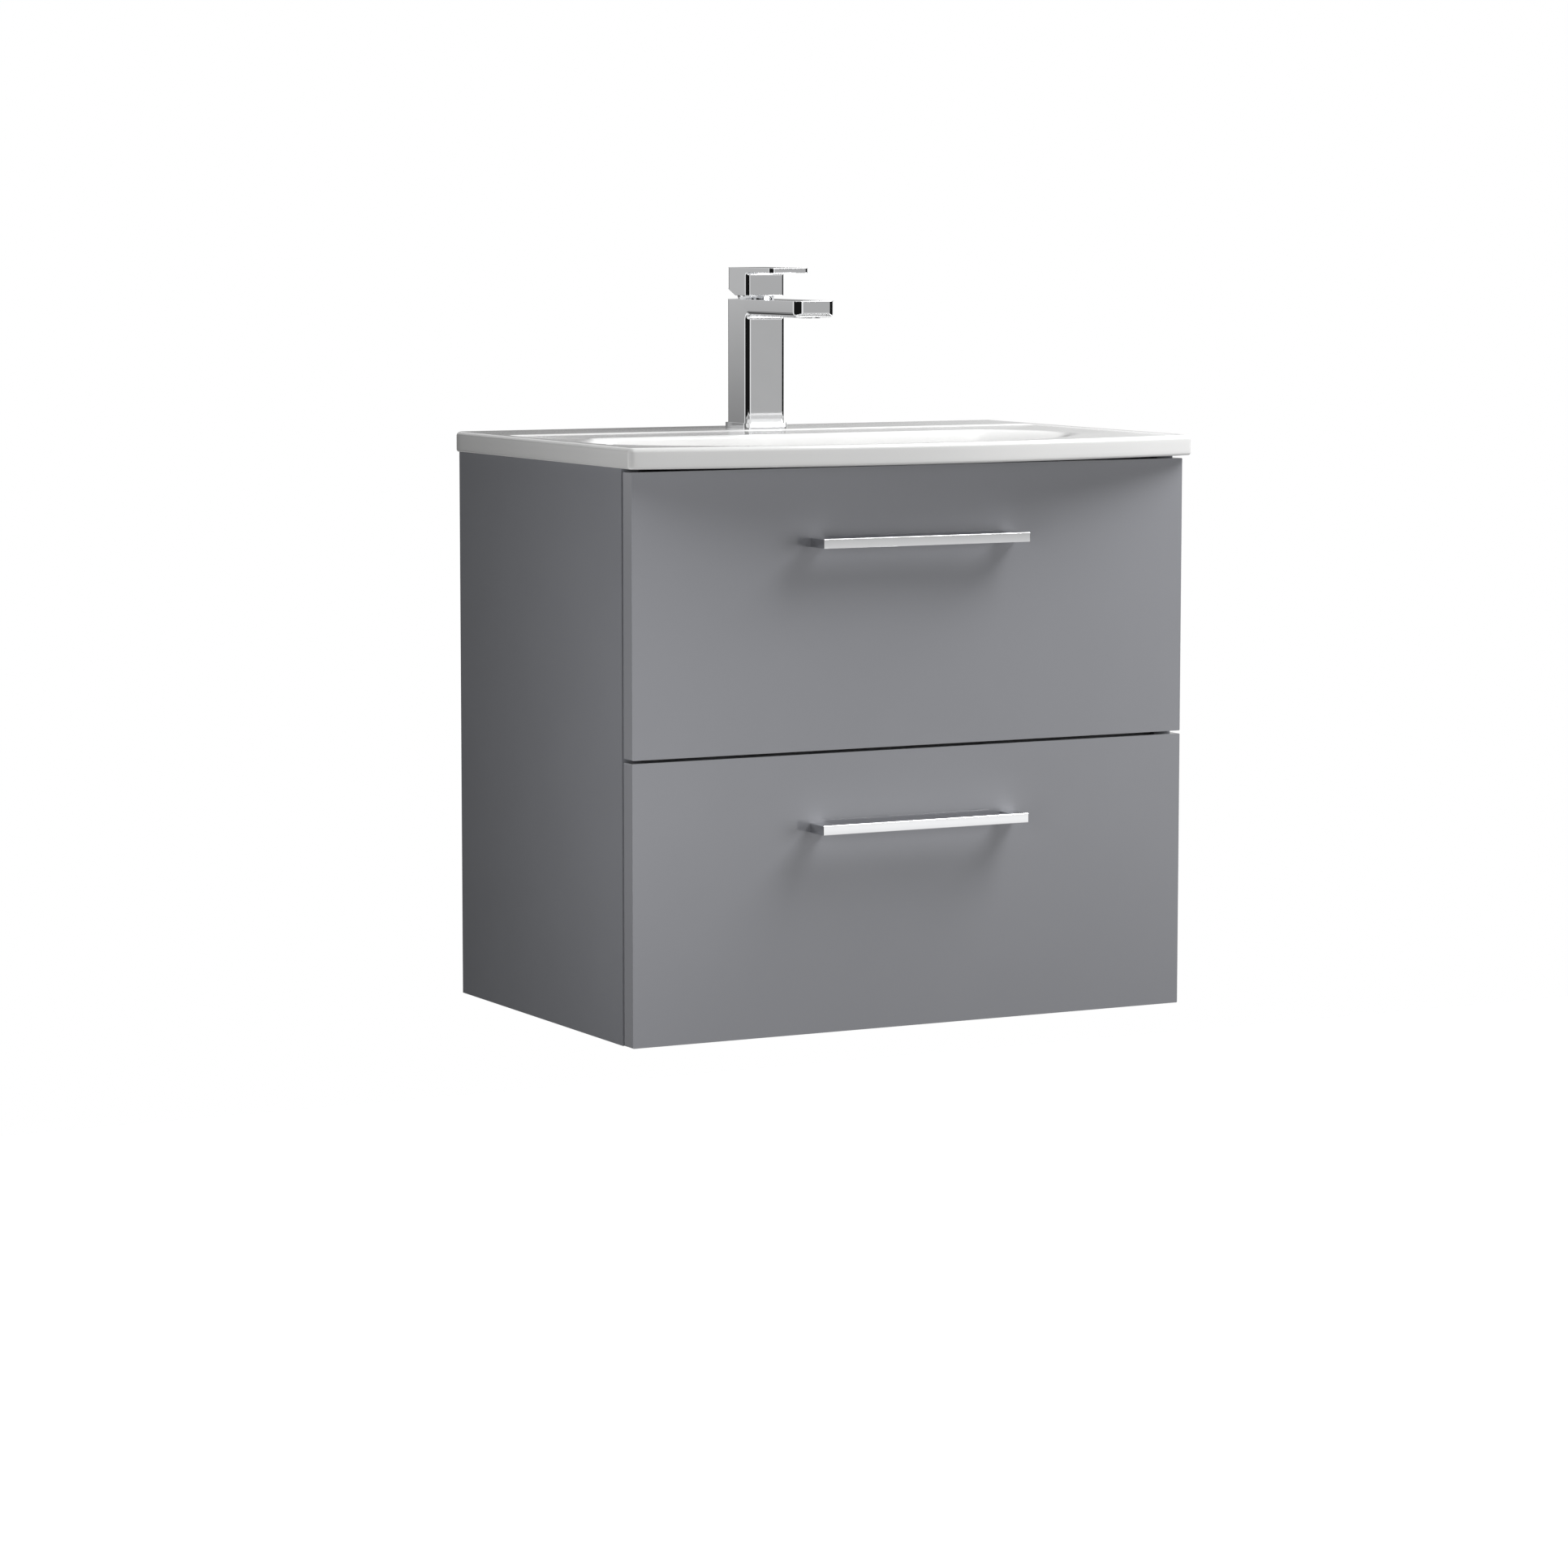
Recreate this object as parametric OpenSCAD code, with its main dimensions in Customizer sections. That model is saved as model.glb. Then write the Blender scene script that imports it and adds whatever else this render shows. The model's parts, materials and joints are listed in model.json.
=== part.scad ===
// Wall-hung bathroom vanity cabinet: two drawers on telescopic runners, a ceramic basin with a
// bowed front and a square single-lever mixer tap.
// X points right, the front faces -Y and Z is up. The origin is the point where the wall plane,
// the middle of the cabinet and its underside meet.

/* [Cabinet] */
// Outside width of the cabinet
cab_w = 600; // [560:10:700]
// Height of the cabinet, up to the underside of the basin
cab_h = 540; // [530:5:560]
// Depth of the side panels, from the wall
cab_d = 364; // [360:1:380]
// Thickness of the side and base panels
board_t = 18; // [16:1:19]
// Thickness of the rails
rail_t = 16; // [15:1:18]

/* [Drawer fronts] */
// Thickness of a drawer front
front_t = 18; // [16:1:19]
// Gap above each drawer front
front_gap = 3; // [2:0.5:4]
// Gap that the buffers leave between a front and the panel edges
front_stand_off = 1.5; // [1:0.1:2]
// How much narrower than the cabinet a front is
front_trim = 2; // [1:0.5:3]

/* [Drawer boxes] */
// Thickness of the drawer sides and backs
box_t = 15; // [12:1:16]
// Thickness of the drawer bottoms
bottom_t = 12; // [8:1:16]
// Height of the upper drawer's sides
upper_box_h = 112; // [90:1:118]
// Height of the lower drawer's sides
lower_box_h = 160; // [120:1:180]
// Width of the upper drawer's slot round the trap
slot_w = 190; // [150:5:220]
// Length of the closed runners
runner_len = 300; // [290:5:300]

/* [Handles] */
// Length of a handle
handle_w = 224; // [160:1:320]
// Height of a handle's bar
handle_h = 9; // [8:0.5:14]
// How far a handle stands out from its front
handle_out = 26.5; // [22:0.5:34]
// Depth of the bar between the legs
bar_t = 10; // [8:0.5:12]
// Width of each leg
leg_w = 16; // [12:1:20]
// Distance of the handle's middle line below the top of its front
handle_drop = 70; // [60:1:120]

/* [Basin] */
// Width of the basin
basin_w = 610; // [570:10:710]
// Depth of the basin at the middle of its bowed front
basin_d = 430; // [425:1:440]
// How far the front bows out between its corners
bow = 37.5; // [20:0.5:45]
// Height of the basin's rim
rim_h = 20; // [18:0.5:24]
// Depth of the flat ledge that carries the tap
ledge_d = 98; // [95:1:100]
// Width of the raised rim
rim_w = 10; // [8:0.5:14]
// Depth of the bowl below its lip
bowl_depth = 110; // [100:1:112]

/* [Tap] */
// Width of the square tap body
tap_w = 44; // [40:1:48]
// Distance of the tap's axis from the wall
tap_y = 58; // [56:1:60]
// Height of the body's flat top above the ledge
tap_h = 128.5; // [110:0.5:140]
// Reach of the spout, from the tap's axis to its tip
spout_reach = 127.5; // [115:0.5:135]
// Thickness of the spout
spout_t = 16.4; // [14:0.2:20]
// Reach of the lever plate, from the tap's axis to its tip
lever_reach = 72.5; // [60:0.5:80]
// Furthest angle that the lever lifts
lever_lift = 22; // [15:1:22]

/* [Hidden] */
$fn = 64;
fit = 0.05;
half_in = cab_w / 2 - board_t;

// Drawer fronts
front_h = (cab_h - 2 * front_gap) / 2;
front_in_y = -cab_d - front_stand_off;
front_out_y = front_in_y - front_t;
front_half = (cab_w - front_trim) / 2;
upper_z = front_h + front_gap;
buffer_t = front_stand_off - 0.2;

// Telescopic runners: thickness over all three members, and the outermost member's height
runner_t = 13;
runner_h = 45;
steel_t = 1.2;
member_gap = 0.4;
runner_front_y = -cab_d + 2;
runner_screw_y = [-327, -199, -103];
screw_r = 1.95;
screw_head_r = 3.5;
screw_l = 11;

// Drawer boxes
box_half = half_in - runner_t;
box_back_y = -60;
upper_box_z = 288;
lower_box_z = 24;
upper_runner_z = upper_box_z + 34;
lower_runner_z = lower_box_z + 46;

// Handles
handle_screw_x = handle_w / 2 - leg_w / 2;
handle_front_y = front_out_y - handle_out;

// Rails and hangers
back_rail_y = [-34, -34 + rail_t];
back_rail_z = [cab_h - 102, cab_h - 2];
low_rail_h = 80;
front_rail_y = [-356, -356 + rail_t];
front_rail_z = [425, 495];
mid_rail_z = [upper_box_z - 42, upper_box_z - 4];
cam_r = 7.5;
cam_depth = 12;
cam_x = half_in - 24;
hook_x = half_in - 12;
hook_t = 5;
plate_x = [half_in - 38, half_in - 2];
plate_z = [cab_h - 122, cab_h - 30];
plate_t = 2;
wall_hole_r = 3.25;
wall_hole_x = [half_in - 30, half_in - 10];
wall_hole_z = cab_h - 112;

// Basin
basin_z = cab_h;
rim_z = basin_z + rim_h;
bow_r = (basin_w * basin_w / 4 + bow * bow) / (2 * bow);
bow_y = bow_r - basin_d;
corner_r = 6;
edge_top_r = 4.5;
edge_bottom_r = 2.5;
dish_drop = 3;
deck_t = 15;
bowl_wall = 11;
lip_z = rim_z - dish_drop;
lip_half = 262;
lip_front = 372;
lip_back = 138;
end_slope = 112;
front_slope = 72;
back_slope = 22;
lip_roll = [20, 25, 4];
roll_len = 8;
back_share = 0.544;
floor_z = lip_z - bowl_depth;
bowl_steps = [0, 0.03, 0.07, 0.13, 0.2, 0.3, 0.42, 0.56, 0.7, 0.82, 0.91, 0.97, 1];
arc_n = 40;
back_n = 8;

// Waste and trap
drain_y = -222;
seat_z = floor_z - 9;
seat_r = 32.5;
drain_r = 23;
under_z = seat_z - bowl_wall;
waste_r = 22;
waste_bore = 18;
tail_r = 16;
tail_bore = 14;
seal_t = 1.5;
flange_z = seat_z + seal_t;
flange_t = 2.5;
tail_end_z = 300;
tail_top_z = 372;
plug_lift = 8;
trap_r = 27;
trap_top_z = 340;
outlet_z = 318;
neck_r = 20;
cup_r = 31;
cup_z = [250, 297];
stub_y = -174;

// Tap
ledge_z = rim_z;
axis_y = -tap_y;
hole_r = 17.5;
base_w = 48;
base_t = 5.2;
body_z = ledge_z + base_t;
body_top = ledge_z + tap_h;
spout_z = body_top - spout_t;
spout_tip_y = axis_y - spout_reach;
aerator_y = spout_tip_y + 14;
block_w = 43;
block_z = body_top + 3.6;
plate_top = block_z + 27.9;
lever_plate_t = 5;
pivot_z = body_top + 8.5;
dome_r = 19.5;
socket_z = pivot_z + 11.2;
chamfer_y = 4;
stem_r = 4;
stud_y = axis_y + 13;
stud_r = 4;
well_h = 16;
inlet = [7.5, axis_y - 6];
inlet_r = 4.6;
deck_under_z = rim_z - deck_t;

// ---- Helpers ----

module block(lo, hi) {
    translate(lo) cube(hi - lo);
}

module both_sides() {
    children();
    mirror([1, 0, 0]) children();
}

// Extrudes an X-Z outline from y0 to y1
module along_y(y0, y1) {
    translate([0, y1, 0]) rotate([90, 0, 0]) linear_extrude(y1 - y0) children();
}

// Extrudes a Y-Z outline from x0 to x1
module along_x(x0, x1) {
    translate([x0, 0, 0]) rotate([90, 0, 90]) linear_extrude(x1 - x0) children();
}

module rod_x(r, x0, x1, y, z) {
    translate([x0, y, z]) rotate([0, 90, 0]) cylinder(r = r, h = x1 - x0);
}

module rod_y(r, y0, y1, x, z) {
    translate([x, y1, z]) rotate([90, 0, 0]) cylinder(r = r, h = y1 - y0);
}

module rod_z(r, z0, z1, x, y) {
    translate([x, y, z0]) cylinder(r = r, h = z1 - z0);
}

// A rectangle about its middle with true round corners
module rounded(w, d, r) {
    square([w - 2 * r, d], center = true);
    square([w, d - 2 * r], center = true);
    for (x = [-1, 1], y = [-1, 1])
        translate([x * (w / 2 - r), y * (d / 2 - r)]) circle(r = r);
}

function arc(c, r, a0, a1, n) =
    [for (i = [0:n]) let (a = a0 + (a1 - a0) * i / n) [c[0] + r * cos(a), c[1] + r * sin(a)]];

function mirrored(p) = concat(p, [for (i = [len(p) - 1:-1:0]) [-p[i][0], p[i][1]]]);

// Triangles of a closed skin over rings of m points, listed from the top down and clockwise.
// The two points after the rings are the middles of the top and bottom caps.
function skin_faces(m, rings) = concat(
    [for (i = [0:m - 1]) [i, (i + 1) % m, m * rings]],
    [for (j = [0:rings - 2], i = [0:m - 1]) [j * m + i, (j + 1) * m + i, (j + 1) * m + (i + 1) % m]],
    [for (j = [0:rings - 2], i = [0:m - 1])
        [j * m + i, (j + 1) * m + (i + 1) % m, j * m + (i + 1) % m]],
    [for (i = [0:m - 1]) let (k = (rings - 1) * m) [k + (i + 1) % m, k + i, m * rings + 1]]
);

module skin(rings, middle) {
    last = len(rings) - 1;
    caps = [[middle[0], middle[1], rings[0][0][2]], [middle[0], middle[1], rings[last][0][2]]];
    polyhedron(
        points = concat([for (ring = rings, p = ring) p], caps),
        faces = skin_faces(len(rings[0]), last + 1)
    );
}

// ---- Carcass ----

module side_panel() {
    difference() {
        block([half_in, -cab_d, 0], [cab_w / 2, 0, cab_h]);
        for (y = runner_screw_y, z = [upper_runner_z, lower_runner_z])
            rod_x(screw_r + fit, half_in - 1, half_in + screw_l + 0.5, y, z);
    }
}

module side_panel_left() {
    color("slategray") mirror([1, 0, 0]) side_panel();
}

module side_panel_right() {
    color("slategray") side_panel();
}

module base_panel() {
    color("slategray") difference() {
        block([-half_in, -cab_d, 0], [half_in, 0, board_t]);
        for (y = [-300, -60])
            both_sides() rod_z(cam_r, board_t - cam_depth, board_t + 1, cam_x, y);
    }
}

module back_rail_top() {
    color("slategray") difference() {
        block([-half_in, back_rail_y[0], back_rail_z[0]], [half_in, back_rail_y[1], back_rail_z[1]]);
        both_sides() {
            block([hook_x - 6, back_rail_y[0] - 1, cab_h - 36], [hook_x + 6, back_rail_y[1] + 1, cab_h - 10]);
            rod_y(cam_r, back_rail_y[0] - 1, back_rail_y[0] + cam_depth, cam_x, back_rail_z[0] + 20);
        }
    }
}

module back_rail_bottom() {
    color("slategray") difference() {
        block([-half_in, back_rail_y[0], board_t], [half_in, back_rail_y[1], board_t + low_rail_h]);
        both_sides()
            rod_y(cam_r, back_rail_y[0] - 1, back_rail_y[0] + cam_depth, cam_x, board_t + low_rail_h / 2);
    }
}

module front_rail() {
    color("slategray") difference() {
        block([-half_in, front_rail_y[0], front_rail_z[0]], [half_in, front_rail_y[1], front_rail_z[1]]);
        both_sides()
            rod_y(cam_r, front_rail_y[1] - cam_depth, front_rail_y[1] + 1, cam_x, front_rail_z[0] + 20);
    }
}

// Closes the gap between the drawers and ties the side panels together
module middle_rail() {
    color("slategray")
        block([-half_in, front_rail_y[0], mid_rail_z[0]], [half_in, front_rail_y[1], mid_rail_z[1]]);
}

// A cam disc standing on the z = 0 plane, its cross slot uppermost
module cam_disc() {
    h = cam_depth - 0.2;
    difference() {
        cylinder(r = cam_r - 0.1, h = h);
        for (a = [0, 90])
            rotate([0, 0, a]) translate([-4, -0.8, h - 2]) cube([8, 1.6, 3]);
    }
}

module carcass_cams() {
    color("silver") both_sides() {
        for (y = [-300, -60])
            translate([cam_x, y, board_t - cam_depth]) cam_disc();
        for (z = [back_rail_z[0] + 20, board_t + low_rail_h / 2])
            translate([cam_x, back_rail_y[0] + cam_depth, z]) rotate([90, 0, 0]) cam_disc();
        translate([cam_x, front_rail_y[1] - cam_depth, front_rail_z[0] + 20])
            rotate([-90, 0, 0]) cam_disc();
    }
}

// ---- Hangers ----

module hanger() {
    difference() {
        block([half_in - 24, back_rail_y[0] - 46, cab_h - 62], [half_in, back_rail_y[0], cab_h - 6]);
        block([hook_x - 5, back_rail_y[0] - 40, cab_h - 44], [hook_x + 5, back_rail_y[0] + 1, cab_h - 10]);
        for (z = [cab_h - 26, cab_h - 52])
            rod_y(3.6, back_rail_y[0] - 47, back_rail_y[0] - 39, hook_x, z);
    }
}

module hanger_left() {
    color("whitesmoke") mirror([1, 0, 0]) hanger();
}

module hanger_right() {
    color("whitesmoke") hanger();
}

// A steel hook that drops over the wall plate's lip, with its two adjusting screws
module hook() {
    difference() {
        block([hook_x - hook_t / 2, -70, cab_h - 30], [hook_x + hook_t / 2, -3, cab_h - 14]);
        block([hook_x - hook_t, -8.4, cab_h - 31], [hook_x + hook_t, -5.6, cab_h - 21.6]);
    }
    for (z = [cab_h - 26, cab_h - 52])
        difference() {
            rod_y(3.5, back_rail_y[0] - 48, back_rail_y[0] - 40, hook_x, z);
            block([hook_x - 2.5, back_rail_y[0] - 49, z - 0.6], [hook_x + 2.5, back_rail_y[0] - 46.5, z + 0.6]);
        }
}

module hanger_hooks() {
    color("silver") both_sides() hook();
}

module wall_plates() {
    color("lightgray") both_sides() {
        difference() {
            block([plate_x[0], -plate_t, plate_z[0]], [plate_x[1], 0, plate_z[1]]);
            for (x = wall_hole_x)
                rod_y(wall_hole_r, -plate_t - 1, 1, x, wall_hole_z);
        }
        block([plate_x[0], -8, plate_z[1] - plate_t], [plate_x[1], -plate_t, plate_z[1]]);
        block([plate_x[0], -8, plate_z[1]], [plate_x[1], -8 + plate_t, plate_z[1] + 8]);
    }
}

// ---- Runners, drawn for the right side ----

// A C-shaped member lying between distances u0 and u1 from the side panel, its web on one of them
module channel(u0, u1, h, web_at_panel, z) {
    along_y(runner_front_y, runner_front_y + runner_len) translate([half_in, z]) {
        translate([-u1, h / 2 - steel_t]) square([u1 - u0, steel_t]);
        translate([-u1, -h / 2]) square([u1 - u0, steel_t]);
        translate([web_at_panel ? -u0 - steel_t : -u1, -h / 2]) square([steel_t, h]);
    }
}

module runner_outer(z) {
    difference() {
        channel(0, runner_t - 1.8, runner_h, true, z);
        for (y = runner_screw_y)
            rod_x(screw_head_r + 0.1, half_in - steel_t - 0.2, half_in + 0.2, y, z);
    }
}

module runner_middle(z) {
    channel(steel_t + 0.5, runner_t - 1.8, runner_h - 2 * (steel_t + member_gap), true, z);
}

module runner_inner(z) {
    difference() {
        channel(4, runner_t, runner_h - 4 * (steel_t + member_gap), false, z);
        for (y = runner_screw_y)
            rod_x(screw_head_r + 0.1, box_half - 0.2, box_half + steel_t + 0.2, y, z);
    }
}

module upper_runner_outer() {
    color("silver") both_sides() runner_outer(upper_runner_z);
}

module lower_runner_outer() {
    color("silver") both_sides() runner_outer(lower_runner_z);
}

module upper_runner_middle() {
    color("gainsboro") both_sides() runner_middle(upper_runner_z);
}

module lower_runner_middle() {
    color("gainsboro") both_sides() runner_middle(lower_runner_z);
}

module upper_runner_inner() {
    color("silver") both_sides() runner_inner(upper_runner_z);
}

module lower_runner_inner() {
    color("silver") both_sides() runner_inner(lower_runner_z);
}

// Flat-headed screws, each head filling the hole in its runner's web
module runner_screws() {
    color("silver") for (y = runner_screw_y, z = [upper_runner_z, lower_runner_z])
        both_sides() {
            rod_x(screw_head_r, half_in - steel_t, half_in, y, z);
            rod_x(screw_r, half_in - 0.1, half_in + screw_l, y, z);
        }
}

// ---- Basin ----

// The rim's outline, drawn in by inset, from back_y to the bowed front, with corners of radius c
function rim(inset, back_y, c) =
    let (
        hw = basin_w / 2 - inset,
        r = bow_r - inset,
        cy = bow_y - sqrt(pow(r - c, 2) - pow(hw - c, 2)),
        phi = atan2(cy - bow_y, hw - c),
        n = 10
    )
    mirrored(concat(
        arc([hw - c, back_y - c], c, 90, 0, 4),
        arc([hw - c, cy], c, 0, phi, 4),
        [for (i = [1:n]) let (a = phi + (-90 - phi) * (i - 0.5) / n) [r * cos(a), bow_y + r * sin(a)]]
    ));

module rim_slice(z, inset, back_y, c) {
    translate([0, 0, z]) linear_extrude(0.01) polygon(rim(inset, back_y, c));
}

// The slab, with its top and bottom edges rounded
module basin_slab() {
    hull() {
        for (a = [0:30:90]) {
            low = edge_bottom_r * (1 - sin(a));
            rim_slice(basin_z + edge_bottom_r * (1 - cos(a)), low, -low, corner_r - low);
            high = edge_top_r * (1 - cos(a));
            rim_slice(rim_z - 0.01 - edge_top_r * (1 - sin(a)), high, -high, corner_r - high);
        }
    }
}

// The shallow dish inside the rim, in front of the tap ledge
module basin_dish() {
    hull() {
        rim_slice(rim_z + 1, rim_w - 1.5, -ledge_d, 6);
        rim_slice(lip_z, rim_w + 4, -ledge_d - 5, 6);
    }
}

function wall_share(g, round_part) = (1 - round_part) * g + round_part * (1 - sqrt(1 - g * g));
function rolled(g, size) = size * (1 - exp(-bowl_depth * g / roll_len));

// One level of the bowl: an ellipse cut off by the straight back wall. g runs from 0 at the lip
// to 1 at the floor, and grow moves the outline outward.
function bowl_ring(g, grow, z) =
    let (
        half = lip_half - rolled(g, lip_roll[0]) - end_slope * wall_share(g, 0.45) + grow,
        front = -(lip_front - rolled(g, lip_roll[1]) - front_slope * wall_share(g, 0.5)) - grow,
        back = -(lip_back + rolled(g, lip_roll[2]) + back_slope * wall_share(g, 1)) + grow,
        b = (back - front) / (1 + back_share),
        t0 = asin(back_share),
        xc = half * cos(t0)
    )
    concat(
        [for (i = [0:arc_n]) let (t = t0 - (180 + 2 * t0) * i / arc_n)
            [half * cos(t), front + b + b * sin(t), z]],
        [for (i = [1:back_n - 1]) [xc * (2 * i / back_n - 1), back, z]]
    );

// A level drawn in to a circle round the drain
function drain_ring(r, z) = [
    for (p = bowl_ring(1, 0, z)) let (d = norm([p[0], p[1] - drain_y]))
        [p[0] * r / d, drain_y + (p[1] - drain_y) * r / d, z]
];

module bowl_hollow() {
    skin(concat(
        [bowl_ring(0, 0, rim_z + 2)],
        [for (g = bowl_steps) bowl_ring(g, 0, lip_z - bowl_depth * g)],
        [drain_ring(seat_r + 0.5, floor_z - 6)]
    ), [0, drain_y]);
}

module bowl_outside() {
    steps = [for (g = bowl_steps) if (g > 0.05) g];
    skin(concat(
        [for (g = steps) bowl_ring(g, bowl_wall, lip_z - bowl_depth * g - 4 * g)],
        [bowl_ring(1, bowl_wall - 8, under_z + 3), bowl_ring(1, bowl_wall - 18, under_z)]
    ), [0, drain_y]);
}

module basin() {
    color("white") difference() {
        union() {
            difference() {
                basin_slab();
                basin_dish();
                block(
                    [-basin_w / 2 + 36, -cab_d + 12, basin_z - 1],
                    [basin_w / 2 - 36, -14, deck_under_z]
                );
            }
            bowl_outside();
        }
        bowl_hollow();
        rod_z(seat_r, seat_z, floor_z - 5, 0, drain_y);
        rod_z(drain_r, under_z - 1, seat_z + 1, 0, drain_y);
        rod_z(hole_r, basin_z - 1, rim_z + 1, 0, axis_y);
    }
}

// ---- Waste and trap ----

module tube(r, bore, z0, z1) {
    translate([0, 0, z0]) difference() {
        cylinder(r = r, h = z1 - z0);
        translate([0, 0, -1]) cylinder(r = bore, h = z1 - z0 + 2);
    }
}

module waste_body() {
    color("silver") translate([0, drain_y, 0]) {
        difference() {
            union() {
                rod_z(seat_r - 1, flange_z, flange_z + flange_t, 0, 0);
                rod_z(waste_r, tail_top_z - 6, flange_z + 1, 0, 0);
                rod_z(tail_r, tail_end_z, tail_top_z, 0, 0);
            }
            rod_z(waste_bore, tail_top_z, flange_z + flange_t + 1, 0, 0);
            rod_z(tail_bore, tail_end_z - 1, tail_top_z + 1, 0, 0);
        }
        difference() {
            union() {
                block([-waste_bore - 1, -2.5, 395], [waste_bore + 1, 2.5, 399]);
                rod_z(6, 391, 401, 0, 0);
            }
            rod_z(3 + fit, 390, 402, 0, 0);
        }
    }
}

module waste_plug() {
    top = flange_z + flange_t + plug_lift;
    color("silver") translate([0, drain_y, 0]) {
        translate([0, 0, top]) rotate_extrude() intersection() {
            square([30, 5]);
            translate([0, -87.5]) circle(r = 92, $fn = 180);
        }
        rod_z(waste_bore - 0.5, top - 4, top, 0, 0);
        rod_z(3, 385, top, 0, 0);
    }
}

module waste_seals() {
    color("dimgray") translate([0, drain_y, 0]) {
        tube(seat_r - 1.5, waste_r + 0.1, seat_z, flange_z);
        tube(33, waste_r + 0.1, under_z - 4, under_z);
    }
}

module waste_nut() {
    color("silver") translate([0, drain_y, 0]) difference() {
        translate([0, 0, under_z - 16]) cylinder(r = 34, h = 12, $fn = 6);
        rod_z(waste_r + 0.1, under_z - 17, under_z - 3, 0, 0);
    }
}

module trap_body() {
    color("white") translate([0, drain_y, 0]) difference() {
        union() {
            rod_z(trap_r, cup_z[1] - 8, trap_top_z, 0, 0);
            rod_z(neck_r, trap_top_z - 1, trap_top_z + 8, 0, 0);
            rod_y(neck_r, 0, stub_y - drain_y, 0, outlet_z);
        }
        rod_z(trap_r - 3, cup_z[1] - 9, trap_top_z - 3, 0, 0);
        rod_z(tail_r + 0.2, trap_top_z - 4, trap_top_z + 9, 0, 0);
        rod_y(tail_r + 0.2, 0, stub_y - drain_y + 1, 0, outlet_z);
    }
}

module trap_cup() {
    color("white") translate([0, drain_y, 0]) difference() {
        union() {
            rod_z(cup_r - 3, cup_z[0], cup_z[1] - 14, 0, 0);
            rod_z(cup_r, cup_z[1] - 20, cup_z[1], 0, 0);
            for (a = [0:30:330])
                rotate([0, 0, a]) rod_z(2, cup_z[1] - 18, cup_z[1] - 2, cup_r - 0.5, 0);
        }
        rod_z(trap_r + 0.1, cup_z[1] - 9, cup_z[1] + 1, 0, 0);
        rod_z(trap_r - 3, cup_z[0] + 4, cup_z[1], 0, 0);
    }
}

// A ribbed union nut standing on z = 0, wide enough inside for a neck up to neck_l high
module union_nut(neck_l) {
    difference() {
        union() {
            cylinder(r = 23.5, h = 18);
            for (a = [0:30:330])
                rotate([0, 0, a]) translate([23, 0, 1]) cylinder(r = 1.6, h = 16);
        }
        translate([0, 0, -1]) cylinder(r = neck_r + 0.1, h = neck_l + 1);
        translate([0, 0, -1]) cylinder(r = tail_r + 0.2, h = 20);
    }
}

module trap_nuts() {
    color("white") translate([0, drain_y, 0]) {
        translate([0, 0, trap_top_z]) union_nut(8.2);
        translate([0, stub_y - drain_y - 13.9, outlet_z]) rotate([-90, 0, 0]) union_nut(14);
    }
}

module trap_pipe() {
    color("white") difference() {
        rod_y(tail_r, drain_y + trap_r + 2, 0, 0, outlet_z);
        rod_y(tail_bore, drain_y + trap_r + 1, 1, 0, outlet_z);
    }
}

module trap_wall_flange() {
    color("white") translate([0, 0, outlet_z]) rotate([90, 0, 0]) rotate_extrude() difference() {
        intersection() {
            square([32, 9]);
            translate([0, -60]) circle(r = 68, $fn = 180);
        }
        square([tail_r + 0.1, 20], center = false);
    }
}

// ---- Tap ----

module at_tap() {
    translate([0, axis_y, 0]) children();
}

module tap_base() {
    color("silver") at_tap() difference() {
        translate([0, 0, ledge_z]) linear_extrude(base_t) rounded(base_w, base_w, 5);
        rod_z(hole_r, ledge_z - 1, body_z + 1, 0, 0);
    }
}

// The spout: a flat bar with round plan corners at its tip and round lower edges
module spout() {
    w = tap_w;
    lower_r = 5;
    intersection() {
        translate([0, (axis_y + spout_tip_y) / 2, spout_z - 1])
            linear_extrude(spout_t + 2) rounded(w, spout_reach, 8);
        along_y(spout_tip_y - 1, axis_y + 1) {
            translate([-w / 2, spout_z + lower_r]) square([w, spout_t - lower_r]);
            translate([-w / 2 + lower_r, spout_z]) square([w - 2 * lower_r, lower_r + 1]);
            for (x = [-1, 1])
                translate([x * (w / 2 - lower_r), spout_z + lower_r]) circle(r = lower_r);
        }
        along_x(-w, w) {
            translate([spout_tip_y, spout_z + lower_r]) square([spout_reach, spout_t - lower_r]);
            translate([spout_tip_y + lower_r, spout_z]) square([spout_reach - lower_r, lower_r + 1]);
            translate([spout_tip_y + lower_r, spout_z + lower_r]) circle(r = lower_r);
        }
    }
}

module tap_body() {
    front = axis_y - tap_w / 2;
    fillet = 4;
    chamber = body_top - 40;
    color("silver") difference() {
        union() {
            at_tap() translate([0, 0, body_z]) linear_extrude(tap_h - base_t) rounded(tap_w, tap_w, 4.9);
            spout();
            along_x(-tap_w / 2 + 5, tap_w / 2 - 5) difference() {
                translate([front - fillet, spout_z - fillet]) square(fillet + 0.5);
                translate([front - fillet, spout_z - fillet]) circle(r = fillet);
            }
        }
        at_tap() {
            rod_z(17.3, chamber, body_top + 1, 0, 0);
            rod_z(17.3, body_z - 1, body_z + well_h, 0, 0);
            rod_z(stud_r + fit, body_z - 1, body_z + well_h + 12, 0, stud_y - axis_y);
        }
        for (x = [-inlet[0], inlet[0]])
            rod_z(3, body_z + well_h - 1, chamber + 1, x, inlet[1]);
        rod_y(4.5, aerator_y, axis_y, 0, spout_z + 9);
        rod_z(11, spout_z - 1, spout_z + 8, 0, aerator_y);
        rod_z(6, spout_z + 7, spout_z + 11, 0, aerator_y);
    }
}

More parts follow.
